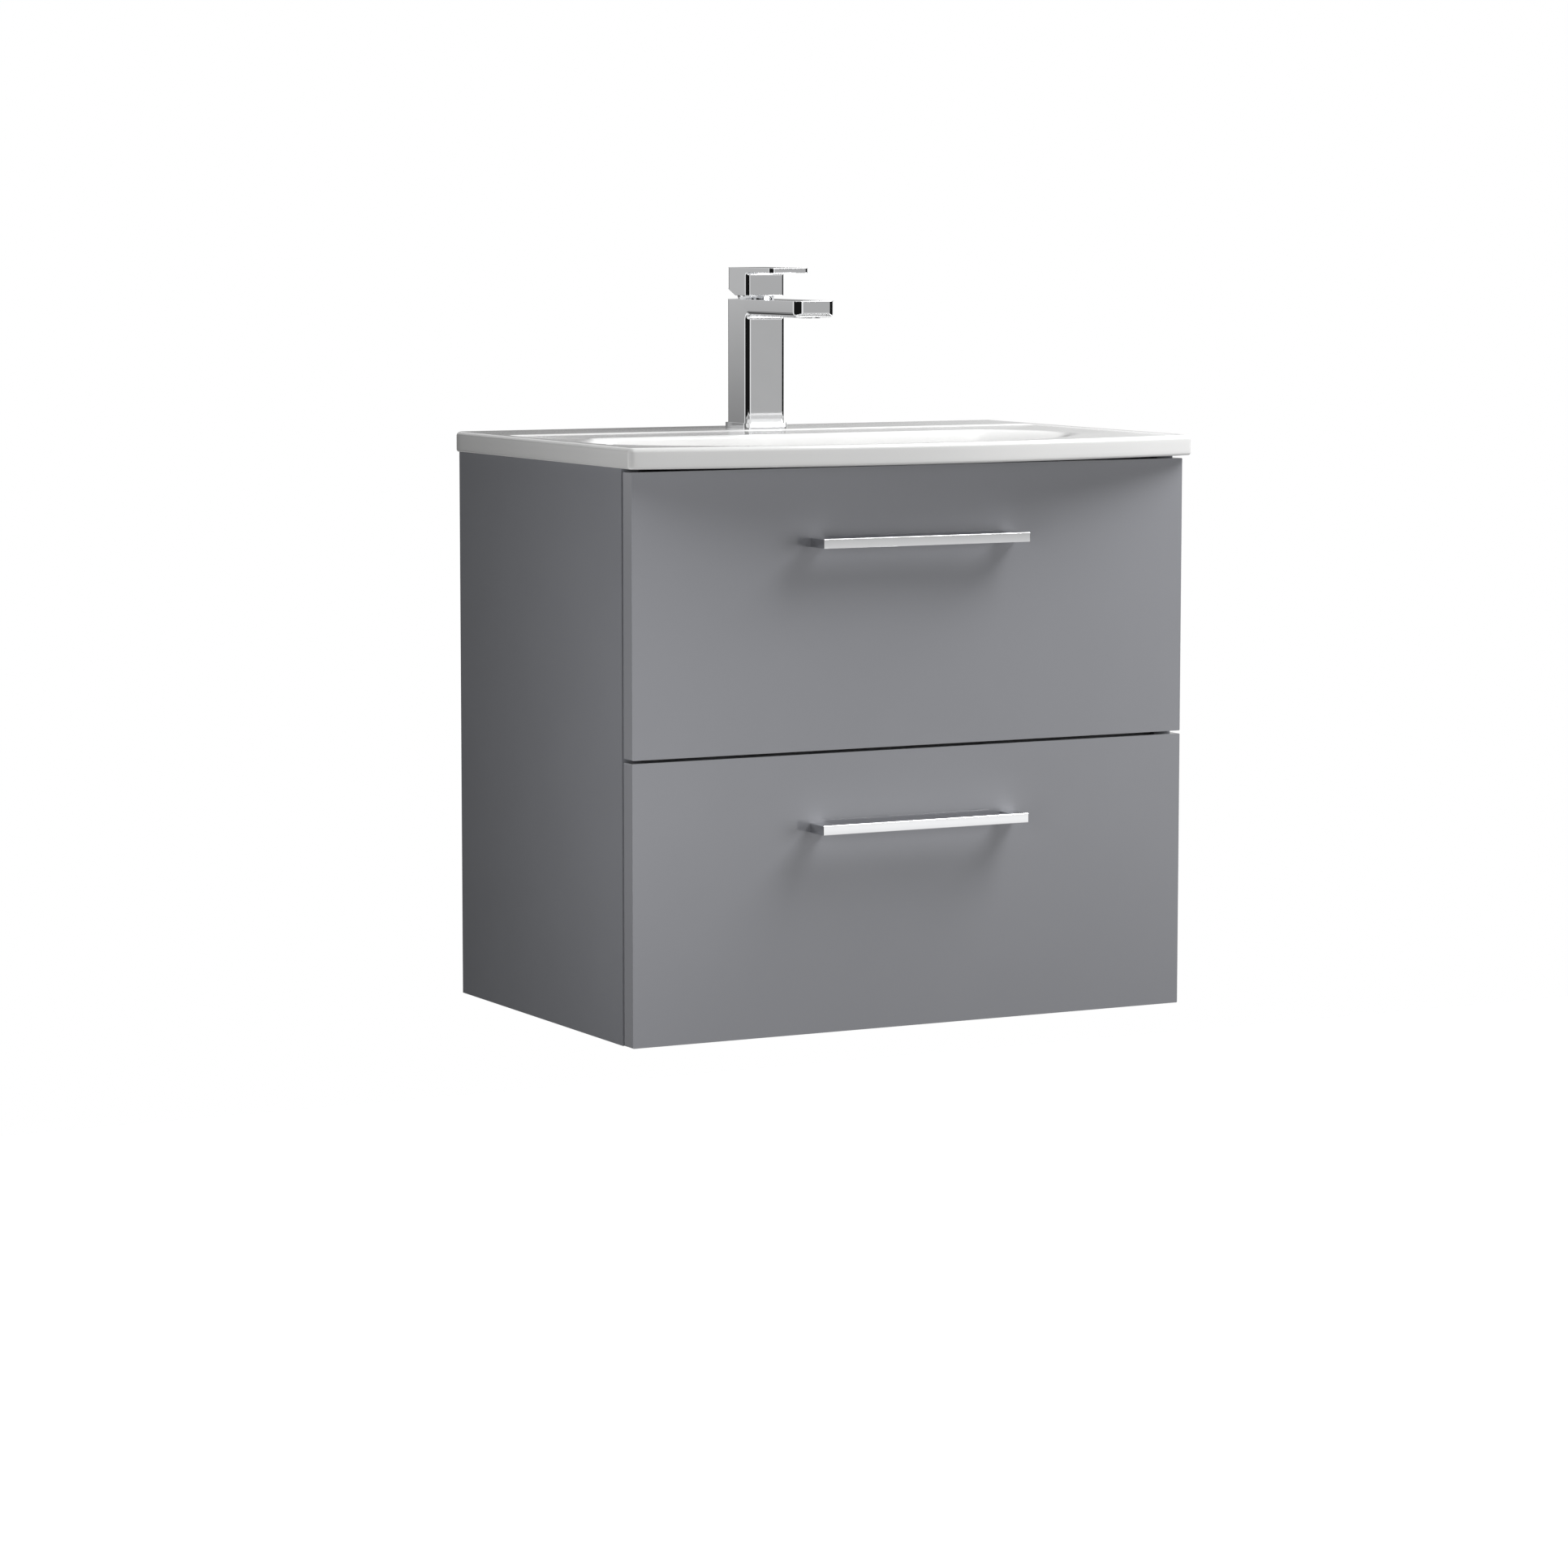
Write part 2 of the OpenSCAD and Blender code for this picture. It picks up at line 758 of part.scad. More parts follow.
module tap_aerator() {
    color("silver") translate([0, aerator_y, spout_z]) difference() {
        translate([0, 0, -0.6]) cylinder(r = 10.9, h = 8);
        translate([0, 0, 2]) cylinder(r = 9, h = 7);
        for (ring = [0:2], i = [0:max(0, ring * 6 - 1)])
            rotate([0, 0, i * 60 / max(1, ring)])
                translate([ring * 3.2, 0, -1]) cylinder(r = 1.1, h = 4);
    }
}

// Threaded sockets for the supply hoses, in the well under the body
module tap_inlets() {
    color("goldenrod") for (x = [-inlet[0], inlet[0]])
        difference() {
            rod_z(inlet_r + 2, body_z, body_z + well_h, x, inlet[1]);
            rod_z(inlet_r, body_z - 1, body_z + well_h + 1, x, inlet[1]);
        }
}

// The cap over the cartridge: a zone of a sphere round the lever's pivot
module tap_dome() {
    low = body_top - pivot_z;
    color("silver") at_tap() translate([0, 0, pivot_z]) rotate_extrude() intersection() {
        difference() {
            circle(r = dome_r, $fn = 120);
            circle(r = dome_r - 2, $fn = 120);
        }
        translate([0, low]) square([dome_r + 1, 4 - low]);
    }
}

module tap_cartridge() {
    color("lightgray") at_tap() {
        rod_z(17.2, body_top - 40, body_top - 0.5, 0, 0);
        rod_z(15, body_top - 1, body_top + 0.3, 0, 0);
    }
}

// Turns with the lever and carries the pin that the stem tilts on
module tap_carrier() {
    color("whitesmoke") at_tap() {
        rod_z(12, body_top + 0.4, pivot_z - 5.5, 0, 0);
        both_sides() block([stem_r + 0.3, -5, pivot_z - 6], [stem_r + 3.5, 5, pivot_z + 4]);
        rod_x(1.5, -stem_r - 3, stem_r + 3, 0, pivot_z);
    }
}

module tap_stem() {
    color("gray") at_tap() difference() {
        rod_z(stem_r, pivot_z - 3.2, socket_z + 6, 0, 0);
        rod_x(1.5 + fit, -stem_r - 1, stem_r + 1, 0, pivot_z);
    }
}

module tap_lever() {
    half = block_w / 2;
    plate_l = half + lever_reach;
    under = plate_top - lever_plate_t;
    fillet = 3;
    color("silver") at_tap() difference() {
        union() {
            translate([0, 0, block_z]) linear_extrude(under - block_z + 1) rounded(block_w, block_w, 4.6);
            translate([0, half - plate_l / 2, under])
                linear_extrude(lever_plate_t) rounded(block_w, plate_l, 4.6);
            along_x(-half + 5, half - 5) difference() {
                translate([-half - fillet, under - fillet]) square(fillet + 0.5);
                translate([-half - fillet, under - fillet]) circle(r = fillet);
            }
        }
        translate([-half - 1, chamfer_y, block_z])
            rotate([lever_lift, 0, 0]) translate([0, 0, -20]) cube([block_w + 2, 40, 20]);
        intersection() {
            translate([0, 0, pivot_z]) sphere(r = dome_r + 0.3, $fn = 120);
            block([-half, -half, block_z - 5], [half, half, socket_z]);
        }
        rod_z(stem_r + fit, pivot_z, socket_z + 6.2, 0, 0);
        rod_y(2 + fit, stem_r - 1, half + 1, 0, socket_z + 3.6);
    }
}

// Holds the lever on the stem, from the back of the lever's block
module tap_lever_screw() {
    color("dimgray") at_tap() difference() {
        rod_y(2, stem_r + fit, block_w / 2 - 0.5, 0, socket_z + 3.6);
        translate([0, block_w / 2, socket_z + 3.6]) rotate([90, 0, 0]) cylinder(r = 1.1, h = 3, $fn = 6);
    }
}

module tap_stud() {
    color("goldenrod") rod_z(stud_r, cab_h - 48, body_z + well_h + 10, 0, stud_y);
}

// A washer open to the front, so that the supply hoses pass beside the stud
module horseshoe(z0, z1) {
    translate([0, axis_y, z0]) linear_extrude(z1 - z0) difference() {
        circle(r = 25);
        translate([0, -7]) circle(r = 14);
        translate([-14, -30]) square([28, 23]);
        translate([0, stud_y - axis_y]) circle(r = stud_r + 0.15);
    }
}

module tap_gasket() {
    color("dimgray") horseshoe(deck_under_z - 3, deck_under_z);
}

module tap_horseshoe() {
    color("goldenrod") horseshoe(deck_under_z - 6, deck_under_z - 3);
}

module tap_nut() {
    color("goldenrod") translate([0, stud_y, 0]) difference() {
        translate([0, 0, deck_under_z - 24]) cylinder(r = 7.5, h = 18, $fn = 6);
        rod_z(stud_r + fit, deck_under_z - 25, deck_under_z - 5, 0, 0);
    }
}

// ---- Drawers ----

module drawer_front(z0) {
    hz = z0 + front_h - handle_drop;
    difference() {
        along_y(front_out_y, front_in_y) translate([0, z0 + front_h / 2]) rounded(2 * front_half, front_h, 1);
        both_sides() {
            rod_y(2.25, front_out_y - 1, front_in_y + 1, handle_screw_x, hz);
            rod_y(4.6, front_in_y - 2.6, front_in_y + 1, handle_screw_x, hz);
        }
    }
}

// A square bar on two legs, with a blind threaded hole in the back of each leg
module handle(z0) {
    hz = z0 + front_h - handle_drop;
    half = handle_w / 2;
    low = hz - handle_h / 2;
    high = hz + handle_h / 2;
    difference() {
        union() {
            block([-half, handle_front_y, low], [half, handle_front_y + bar_t, high]);
            both_sides() block([half - leg_w, handle_front_y, low], [half, front_out_y, high]);
        }
        both_sides() rod_y(2 + fit, front_out_y - 12, front_out_y + 1, handle_screw_x, hz);
    }
}

// The handle's screws, and those that hold the inner runners to the box
module drawer_screws(z0, runner_z) {
    hz = z0 + front_h - handle_drop;
    both_sides() {
        difference() {
            rod_y(4.5, front_in_y - 2.5, front_in_y, handle_screw_x, hz);
            translate([handle_screw_x, front_in_y - 1.2, hz])
                rotate([-90, 0, 0]) cylinder(r = 1.8, h = 3, $fn = 6);
        }
        rod_y(2, front_out_y - 11.5, front_in_y - 2.4, handle_screw_x, hz);
        for (y = runner_screw_y) {
            rod_x(screw_head_r, box_half, box_half + steel_t, y, runner_z);
            rod_x(screw_r, box_half - screw_l, box_half + 0.1, y, runner_z);
        }
    }
}

module drawer_side(z0, h, runner_z) {
    difference() {
        block([box_half - box_t, front_in_y, z0], [box_half, box_back_y, z0 + h]);
        for (y = runner_screw_y)
            rod_x(screw_r + fit, box_half - screw_l - 0.5, box_half + 1, y, runner_z);
    }
}

module drawer_bottom(z0) {
    inner = box_half - box_t;
    block([-inner, front_in_y, z0], [inner, box_back_y, z0 + bottom_t]);
}

module buffers(z0) {
    both_sides() for (z = [z0 + 15, z0 + front_h - 15])
        rod_y(4, front_in_y, front_in_y + buffer_t, cab_w / 2 - board_t / 2, z);
}

module upper_front() {
    color("slategray") drawer_front(upper_z);
}

module upper_handle() {
    color("silver") handle(upper_z);
}

module upper_screws() {
    color("silver") drawer_screws(upper_z, upper_runner_z);
}

module upper_side_left() {
    color("lightgray") mirror([1, 0, 0]) drawer_side(upper_box_z, upper_box_h, upper_runner_z);
}

module upper_side_right() {
    color("lightgray") drawer_side(upper_box_z, upper_box_h, upper_runner_z);
}

// Two pieces, one each side of the slot round the trap
module upper_back() {
    color("lightgray") both_sides()
        block(
            [slot_w / 2 + box_t, box_back_y - box_t, upper_box_z + bottom_t],
            [box_half - box_t, box_back_y, upper_box_z + upper_box_h]
        );
}

module upper_bottom() {
    color("lightgray") difference() {
        drawer_bottom(upper_box_z);
        block(
            [-slot_w / 2, drain_y - 78, upper_box_z - 1],
            [slot_w / 2, box_back_y + 1, upper_box_z + bottom_t + 1]
        );
    }
}

// The walls round the slot, open to the back
module upper_pipe_guard() {
    low = upper_box_z + bottom_t;
    high = upper_box_z + upper_box_h;
    front = drain_y - 78;
    color("lightgray") {
        block([-slot_w / 2 - box_t, front - box_t, low], [slot_w / 2 + box_t, front, high]);
        both_sides() block([slot_w / 2, front - 0.1, low], [slot_w / 2 + box_t, box_back_y, high]);
    }
}

module upper_buffers() {
    color("white") buffers(upper_z);
}

module lower_front() {
    color("slategray") drawer_front(0);
}

module lower_handle() {
    color("silver") handle(0);
}

module lower_screws() {
    color("silver") drawer_screws(0, lower_runner_z);
}

module lower_side_left() {
    color("lightgray") mirror([1, 0, 0]) drawer_side(lower_box_z, lower_box_h, lower_runner_z);
}

module lower_side_right() {
    color("lightgray") drawer_side(lower_box_z, lower_box_h, lower_runner_z);
}

module lower_back() {
    inner = box_half - box_t;
    color("lightgray") block(
        [-inner, box_back_y - box_t, lower_box_z + bottom_t],
        [inner, box_back_y, lower_box_z + lower_box_h]
    );
}

module lower_bottom() {
    color("lightgray") drawer_bottom(lower_box_z);
}

module lower_buffers() {
    color("white") buffers(0);
}

side_panel_left();
side_panel_right();
base_panel();
back_rail_top();
back_rail_bottom();
front_rail();
middle_rail();
carcass_cams();
hanger_left();
hanger_right();
hanger_hooks();
wall_plates();
upper_runner_outer();
lower_runner_outer();
runner_screws();
upper_runner_middle();
lower_runner_middle();
upper_runner_inner();
lower_runner_inner();
basin();
waste_body();
waste_plug();
waste_seals();
waste_nut();
trap_body();
trap_cup();
trap_nuts();
trap_pipe();
trap_wall_flange();
tap_base();
tap_body();
tap_inlets();
tap_aerator();
tap_dome();
tap_cartridge();
tap_carrier();
tap_stem();
tap_lever();
tap_lever_screw();
tap_stud();
tap_gasket();
tap_horseshoe();
tap_nut();
upper_front();
upper_handle();
upper_screws();
upper_side_left();
upper_side_right();
upper_back();
upper_bottom();
upper_pipe_guard();
upper_buffers();
lower_front();
lower_handle();
lower_screws();
lower_side_left();
lower_side_right();
lower_back();
lower_bottom();
lower_buffers();
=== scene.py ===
import json
import math

import bmesh
import bpy
from mathutils import Matrix, Vector


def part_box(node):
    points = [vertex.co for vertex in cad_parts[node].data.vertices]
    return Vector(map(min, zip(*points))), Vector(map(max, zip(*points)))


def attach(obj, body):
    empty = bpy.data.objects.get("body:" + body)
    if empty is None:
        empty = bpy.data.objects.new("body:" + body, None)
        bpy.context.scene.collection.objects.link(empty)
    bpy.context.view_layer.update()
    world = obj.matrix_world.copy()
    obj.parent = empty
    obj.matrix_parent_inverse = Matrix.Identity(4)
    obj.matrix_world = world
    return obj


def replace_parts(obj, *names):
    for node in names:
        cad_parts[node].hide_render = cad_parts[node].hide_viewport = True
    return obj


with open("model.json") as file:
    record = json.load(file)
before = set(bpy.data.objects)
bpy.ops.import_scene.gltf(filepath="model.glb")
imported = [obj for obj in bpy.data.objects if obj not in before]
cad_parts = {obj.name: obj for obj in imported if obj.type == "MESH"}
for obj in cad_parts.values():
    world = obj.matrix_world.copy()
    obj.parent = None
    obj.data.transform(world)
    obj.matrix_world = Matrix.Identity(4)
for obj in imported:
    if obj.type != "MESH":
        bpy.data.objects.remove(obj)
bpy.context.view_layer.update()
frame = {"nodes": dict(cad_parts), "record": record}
nodes = frame["nodes"]
scene = bpy.context.scene
MM = 0.001

# Places of the Mix node's sockets, which share their names between its data types.
MIX_FACTOR, MIX_FLOAT_A, MIX_FLOAT_B, MIX_COLOR_A, MIX_COLOR_B = 0, 2, 3, 6, 7
MIX_FLOAT_OUT, MIX_COLOR_OUT = 0, 2

# ---------------------------------------------------------------- camera

lens = bpy.data.cameras.new("camera")
lens.lens, lens.sensor_width, lens.sensor_fit = 115.285, 36.0, "AUTO"
lens.clip_start, lens.clip_end = 0.1, 100.0
camera = bpy.data.objects.new("camera", lens)
camera.location = (-2.3345, -4.5350, 0.7791)
camera.rotation_euler = [math.radians(a) for a in (83.454, -0.04, -27.856)]
scene.collection.objects.link(camera)
scene.camera = camera
scene.view_settings.view_transform = "Standard"

# ---------------------------------------------------------------- material helpers


class Shader:
    """A Principled material with short ways to add the nodes that vary its colour, gloss and relief."""

    def __init__(self, name, color, **values):
        self.m = bpy.data.materials.new(name)
        self.m.use_nodes = True
        self.tree = self.m.node_tree
        self.bsdf = self.tree.nodes["Principled BSDF"]
        self.color = (*color, 1.0)
        self.put("Base Color", self.color)
        for key, value in values.items():
            self.put(key.replace("_", " "), value)
        self.coord = self.tree.nodes.new("ShaderNodeTexCoord").outputs["Object"]

    def put(self, socket, value):
        self.bsdf.inputs[socket].default_value = value

    def link(self, a, b):
        self.tree.links.new(a, b)

    def stretched(self, scale):
        node = self.tree.nodes.new("ShaderNodeMapping")
        node.inputs["Scale"].default_value = scale
        self.link(self.coord, node.inputs["Vector"])
        return node.outputs["Vector"]

    def noise(self, scale, detail=3.0, rough=0.5, stretch=None):
        node = self.tree.nodes.new("ShaderNodeTexNoise")
        node.inputs["Scale"].default_value = scale
        node.inputs["Detail"].default_value = detail
        node.inputs["Roughness"].default_value = rough
        self.link(self.stretched(stretch) if stretch else self.coord, node.inputs["Vector"])
        return node.outputs["Fac"]

    def cells(self, scale):
        node = self.tree.nodes.new("ShaderNodeTexVoronoi")
        node.inputs["Scale"].default_value = scale
        self.link(self.coord, node.inputs["Vector"])
        return node.outputs["Distance"]

    def spread(self, source, low, high, a=0.3, b=0.7):
        node = self.tree.nodes.new("ShaderNodeMapRange")
        self.link(source, node.inputs["Value"])
        for key, value in (("From Min", a), ("From Max", b), ("To Min", low), ("To Max", high)):
            node.inputs[key].default_value = value
        return node.outputs["Result"]

    def mix(self, factor, a, b):
        node = self.tree.nodes.new("ShaderNodeMix")
        node.data_type = "RGBA"
        self.link(factor, node.inputs["Factor"])
        node.inputs[MIX_COLOR_A].default_value = (*a, 1.0)
        node.inputs[MIX_COLOR_B].default_value = (*b, 1.0)
        return node.outputs[MIX_COLOR_OUT]

    def tint(self, source, amount, a=0.3, b=0.7):
        """Colour that runs from a little darker to a little lighter than the base colour."""
        dark = tuple(c * (1 - amount) for c in self.color[:3])
        light = tuple(min(1.0, c * (1 + amount)) for c in self.color[:3])
        color = self.mix(self.spread(source, 0.0, 1.0, a, b), dark, light)
        self.link(color, self.bsdf.inputs["Base Color"])

    def rough(self, source, low, high):
        self.link(self.spread(source, low, high), self.bsdf.inputs["Roughness"])

    def bump(self, *layers):
        """layers of (height source, depth in mm), the coarsest first."""
        last = None
        for source, depth in layers:
            node = self.tree.nodes.new("ShaderNodeBump")
            node.inputs["Strength"].default_value = 1.0
            node.inputs["Distance"].default_value = depth * MM
            self.link(source, node.inputs["Height"])
            if last:
                self.link(last, node.inputs["Normal"])
            last = node.outputs["Normal"]
        self.link(last, self.bsdf.inputs["Normal"])


def lacquer():
    s = Shader("front_lacquer", (0.271, 0.276, 0.298), Coat_Weight=0.6, Coat_Roughness=0.03)
    s.tint(s.noise(9.0, 4.0), 0.012)
    s.rough(s.noise(30.0, 3.0), 0.16, 0.20)
    s.bump((s.noise(160.0, 1.0), 0.0015))
    return s.m


def foil():
    s = Shader("panel_foil", (0.232, 0.237, 0.256), Specular_IOR_Level=0.12)
    s.tint(s.noise(14.0, 4.0), 0.015)
    s.rough(s.noise(60.0, 3.0), 0.30, 0.36)
    return s.m


def rail_board():
    s = Shader("rail_board", (0.26, 0.265, 0.275))
    s.tint(s.noise(900.0, 2.0, stretch=(1.0, 1.0, 0.12)), 0.07)
    s.rough(s.noise(200.0, 3.0), 0.42, 0.5)
    s.bump((s.noise(1400.0, 2.0), 0.006))
    return s.m


def drawer_board():
    """Light grey melamine with a faint linen weave."""
    s = Shader("drawer_board", (0.47, 0.475, 0.48))
    long_threads = s.noise(1100.0, 2.0, stretch=(0.05, 0.05, 1.0))
    cross_threads = s.noise(1100.0, 2.0, stretch=(1.0, 1.0, 0.05))
    add = s.tree.nodes.new("ShaderNodeMath")
    add.operation = "MULTIPLY_ADD"
    s.link(long_threads, add.inputs[0])
    add.inputs[1].default_value = 0.5
    half = s.spread(cross_threads, 0.0, 0.5, 0.0, 1.0)
    s.link(half, add.inputs[2])
    s.tint(add.outputs[0], 0.06, 0.4, 0.6)
    s.rough(s.noise(150.0, 3.0), 0.4, 0.48)
    s.bump((add.outputs[0], 0.02))
    return s.m


def glaze():
    s = Shader("ceramic", (0.76, 0.76, 0.755), Coat_Weight=1.0, Coat_Roughness=0.16)
    s.tint(s.noise(11.0, 3.0), 0.008)
    s.rough(s.noise(40.0, 3.0), 0.20, 0.26)
    s.bump((s.noise(18.0, 0.0), 0.010))
    return s.m


def chrome():
    s = Shader("chrome", (0.80, 0.805, 0.815), Metallic=1.0)
    s.tint(s.noise(40.0, 3.0), 0.01)
    s.rough(s.noise(90.0, 4.0), 0.02, 0.035)
    s.bump((s.noise(700.0, 2.0), 0.00012))
    return s.m


def zinc():
    """Bright zinc plate, with its faint spangle and rolling marks."""
    s = Shader("zinc_steel", (0.60, 0.615, 0.63), Metallic=1.0)
    grains = s.cells(260.0)
    s.tint(s.spread(grains, 0.0, 1.0, 0.0, 0.6), 0.10, 0.0, 1.0)
    s.rough(s.noise(500.0, 3.0, stretch=(1.0, 0.04, 1.0)), 0.285, 0.42)
    s.bump((s.noise(1500.0, 2.0, stretch=(1.0, 0.03, 1.0)), 0.003))
    return s.m


def white_plastic():
    s = Shader("white_plastic", (0.82, 0.82, 0.81), Subsurface_Weight=0.05, Subsurface_Scale=0.002)
    s.tint(s.noise(60.0, 3.0), 0.012)
    s.rough(s.noise(120.0, 3.0), 0.29, 0.35)
    s.bump((s.noise(900.0, 2.0), 0.003))
    return s.m


def rubber():
    s = Shader("rubber", (0.022, 0.022, 0.023))
    s.tint(s.noise(300.0, 4.0), 0.25)
    s.rough(s.noise(200.0, 3.0), 0.55, 0.72)
    s.bump((s.noise(1200.0, 3.0), 0.02))
    return s.m


def clear_buffer():
    s = Shader("clear_buffer", (0.86, 0.88, 0.90), Transmission_Weight=0.7, IOR=1.45)
    s.tint(s.noise(500.0, 2.0), 0.03)
    s.rough(s.noise(300.0, 2.0), 0.16, 0.26)
    s.bump((s.noise(900.0, 2.0), 0.01))
    return s.m


def brass():
    s = Shader("brass", (0.74, 0.55, 0.25), Metallic=1.0)
    s.tint(s.noise(120.0, 4.0), 0.07)
    s.rough(s.noise(700.0, 3.0, stretch=(1.0, 1.0, 0.06)), 0.28, 0.40)
    s.bump((s.noise(1800.0, 2.0, stretch=(0.1, 0.1, 1.0)), 0.006))
    return s.m


MATERIALS = {
    "front_lacquer": lacquer(), "panel_foil": foil(), "rail_board": rail_board(),
    "drawer_board": drawer_board(), "ceramic": glaze(), "chrome": chrome(), "zinc_steel": zinc(),
    "white_plastic": white_plastic(), "rubber": rubber(), "clear_buffer": clear_buffer(), "brass": brass(),
}

# ---------------------------------------------------------------- mesh helpers


def new_object(name, mesh, slot, body):
    obj = bpy.data.objects.new(name, mesh)
    scene.collection.objects.link(obj)
    mesh.materials.append(MATERIALS[slot])
    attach(obj, body)
    return obj


def mesh_from(bm, name):
    mesh = bpy.data.meshes.new(name)
    bm.to_mesh(mesh)
    bm.free()
    return mesh


def circle_points(centre, r, z, turns):
    angles = [2 * math.pi * k / turns for k in range(turns)]
    return [(centre[0] + r * math.cos(a), centre[1] + r * math.sin(a), z) for a in angles]


def ring_solid(name, rings):
    """A closed solid through rings of (x, y, z) points in mm, the last ring joined to the first."""
    bm = bmesh.new()
    grid = [[bm.verts.new(Vector(p) * MM) for p in ring] for ring in rings]
    count = len(rings[0])
    for a, b in zip(grid, grid[1:] + grid[:1]):
        for k in range(count):
            j = (k + 1) % count
            bm.faces.new((a[k], a[j], b[j], b[k]))
    bmesh.ops.recalc_face_normals(bm, faces=bm.faces)
    return mesh_from(bm, name)


def smooth(mesh, angle):
    mesh.shade_smooth()
    mesh.set_sharp_from_angle(angle=math.radians(angle))


def settle(obj):
    """Turns the object's modifiers into its own mesh."""
    mesh = bpy.data.meshes.new_from_object(obj.evaluated_get(bpy.context.evaluated_depsgraph_get()))
    obj.modifiers.clear()
    obj.data = mesh


def crisp(obj):
    """Keeps the flat faces flat beside the narrow rounded ones."""
    weigh = obj.modifiers.new("flat_faces", "WEIGHTED_NORMAL")
    weigh.keep_sharp = True
    weigh.weight = 80


def extruded(outline, at, w0, w1, side, cross):
    """A prism with rounded edges. outline holds (u, v) points in mm and at maps (u, v, w) to x, y, z.
    side[i] is the radius along the outline from point i to i + 1, cross[i] the one across at point i."""
    bm = bmesh.new()
    layer = bm.edges.layers.float.new("bevel_weight_edge")
    rows = [[bm.verts.new(Vector(at(u, v, w)) * MM) for u, v in outline] for w in (w0, w1)]
    n = len(outline)
    bm.faces.new(rows[0])
    bm.faces.new(rows[1][::-1])
    for i in range(n):
        j = (i + 1) % n
        bm.faces.new((rows[0][i], rows[1][i], rows[1][j], rows[0][j]))
    bmesh.ops.recalc_face_normals(bm, faces=bm.faces)
    most = max(max(side), max(cross))
    for i in range(n):
        for row in rows:
            bm.edges.get((row[i], row[(i + 1) % n]))[layer] = side[i] / most
        bm.edges.get((rows[0][i], rows[1][i]))[layer] = cross[i] / most
    return mesh_from(bm, "prism"), most


def lathe_mesh(profile, centre, turns=96):
    """A closed solid turned about a vertical axis from (radius, z) points in mm, axis point to axis point."""
    bm = bmesh.new()
    rings = []
    for r, z in profile:
        if r == 0:
            rings.append([bm.verts.new(Vector((centre[0], centre[1], z)) * MM)])
        else:
            rings.append([bm.verts.new(Vector(p) * MM) for p in circle_points(centre, r, z, turns)])
    for a, b in zip(rings, rings[1:]):
        for k in range(turns):
            j = (k + 1) % turns
            corners = [a[k % len(a)], a[j % len(a)], b[j % len(b)], b[k % len(b)]]
            corners = [c for i, c in enumerate(corners) if c not in corners[:i]]
            if len(corners) > 2:
                bm.faces.new(corners)
    bmesh.ops.recalc_face_normals(bm, faces=bm.faces)
    return mesh_from(bm, "turned")


def cut(obj, *meshes):
    """Takes each of the closed meshes out of the object."""
    tools = []
    for mesh in meshes:
        tool = bpy.data.objects.new("tool", mesh)
        scene.collection.objects.link(tool)
        tools.append(tool)
        take = obj.modifiers.new("cut", "BOOLEAN")
        take.object, take.operation, take.solver = tool, "DIFFERENCE", "EXACT"
    settle(obj)
    for tool in tools:
        bpy.data.objects.remove(tool)


def rod(radius, low, high, centre, turns=64):
    return lathe_mesh([(0, low), (radius, low), (radius, high), (0, high)], centre, turns)


def along_y(mesh, y, z):
    """Lays a turned mesh down: its axis runs along Y through (0, z), and its own z becomes y."""
    mesh.transform(Matrix.Translation(Vector((0, y, z)) * MM) @ Matrix.Rotation(math.radians(-90), 4, "X"))
    return mesh


def solid(name, slot, body, outline, at, w0, w1, side, cross, cutters=(), segments=8):
    mesh, most = extruded(outline, at, w0, w1, side, cross)
    obj = new_object(name, mesh, slot, body)
    bevel = obj.modifiers.new("edges", "BEVEL")
    bevel.limit_method, bevel.width, bevel.segments = "WEIGHT", most * MM, segments
    bevel.use_clamp_overlap = False
    cut(obj, *cutters)
    smooth(obj.data, 34)
    crisp(obj)
    return obj


# ---------------------------------------------------------------- tap

TAP_Y = -58.0
CARTRIDGE_RADIUS = 17.3
PIVOT_RISE = 8.5
LIFT = math.radians(22)
BEND_STEPS = 8
plinth_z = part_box("tap_base")[1].z / MM
body_lo, body_hi = (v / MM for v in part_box("tap_body"))
lever_lo, lever_hi = (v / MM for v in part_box("tap_lever"))


def sideways(u, v, w):
    """Outline in the Y-Z plane, extruded across X."""
    return (w, u, v)


def fillet_arc(y, z, r, steps):
    """From under an overhang at height z round to an upright face at y: a concave quarter circle."""
    return [(y - r + r * math.sin(a), z - r + r * math.cos(a))
            for a in (math.pi / 2 * k / steps for k in range(steps + 1))]


def tap_body():
    half, spout_height = 22.0, 16.4
    front, back, tip = TAP_Y - half, TAP_Y + half, body_lo.y
    top, under = body_hi.z, body_hi.z - spout_height
    bend = fillet_arc(front, under, 4.0, BEND_STEPS)
    outline = [(back, plinth_z), (back, top), (tip, top), (tip, under), *bend, (front, plinth_z)]
    side = [4.9, 0.6, 8.0, 5.0, *[4.9] * (BEND_STEPS + 1), 0.0]
    cross = [0.0, 0.6, 0.6, 5.0, *[0.0] * (BEND_STEPS + 1), 0.0]
    bore = rod(CARTRIDGE_RADIUS, top - 40, top + 1, (0, TAP_Y), 96)
    outlet = rod(11.0, under - 1, under + 8, (0, tip + 14.0), 64)
    well = rod(CARTRIDGE_RADIUS, plinth_z - 1, plinth_z + 16, (0, TAP_Y), 96)
    stud = rod(4.05, plinth_z + 15, plinth_z + 28, (0, TAP_Y + 13), 32)
    body = solid("tap_body_cast", "chrome", "cabinet", outline, sideways, -half, half, side, cross,
                 [bore, outlet, well, stud])
    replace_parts(body, "tap_body")


def dome_arc(radius, pivot, low, high, steps):
    """Points (distance from the axis, z) on a ball about the pivot, from one height to another."""
    heights = [low - pivot + (high - low) * k / steps for k in range(steps + 1)]
    return [(math.sqrt(radius * radius - h * h), pivot + h) for h in heights]


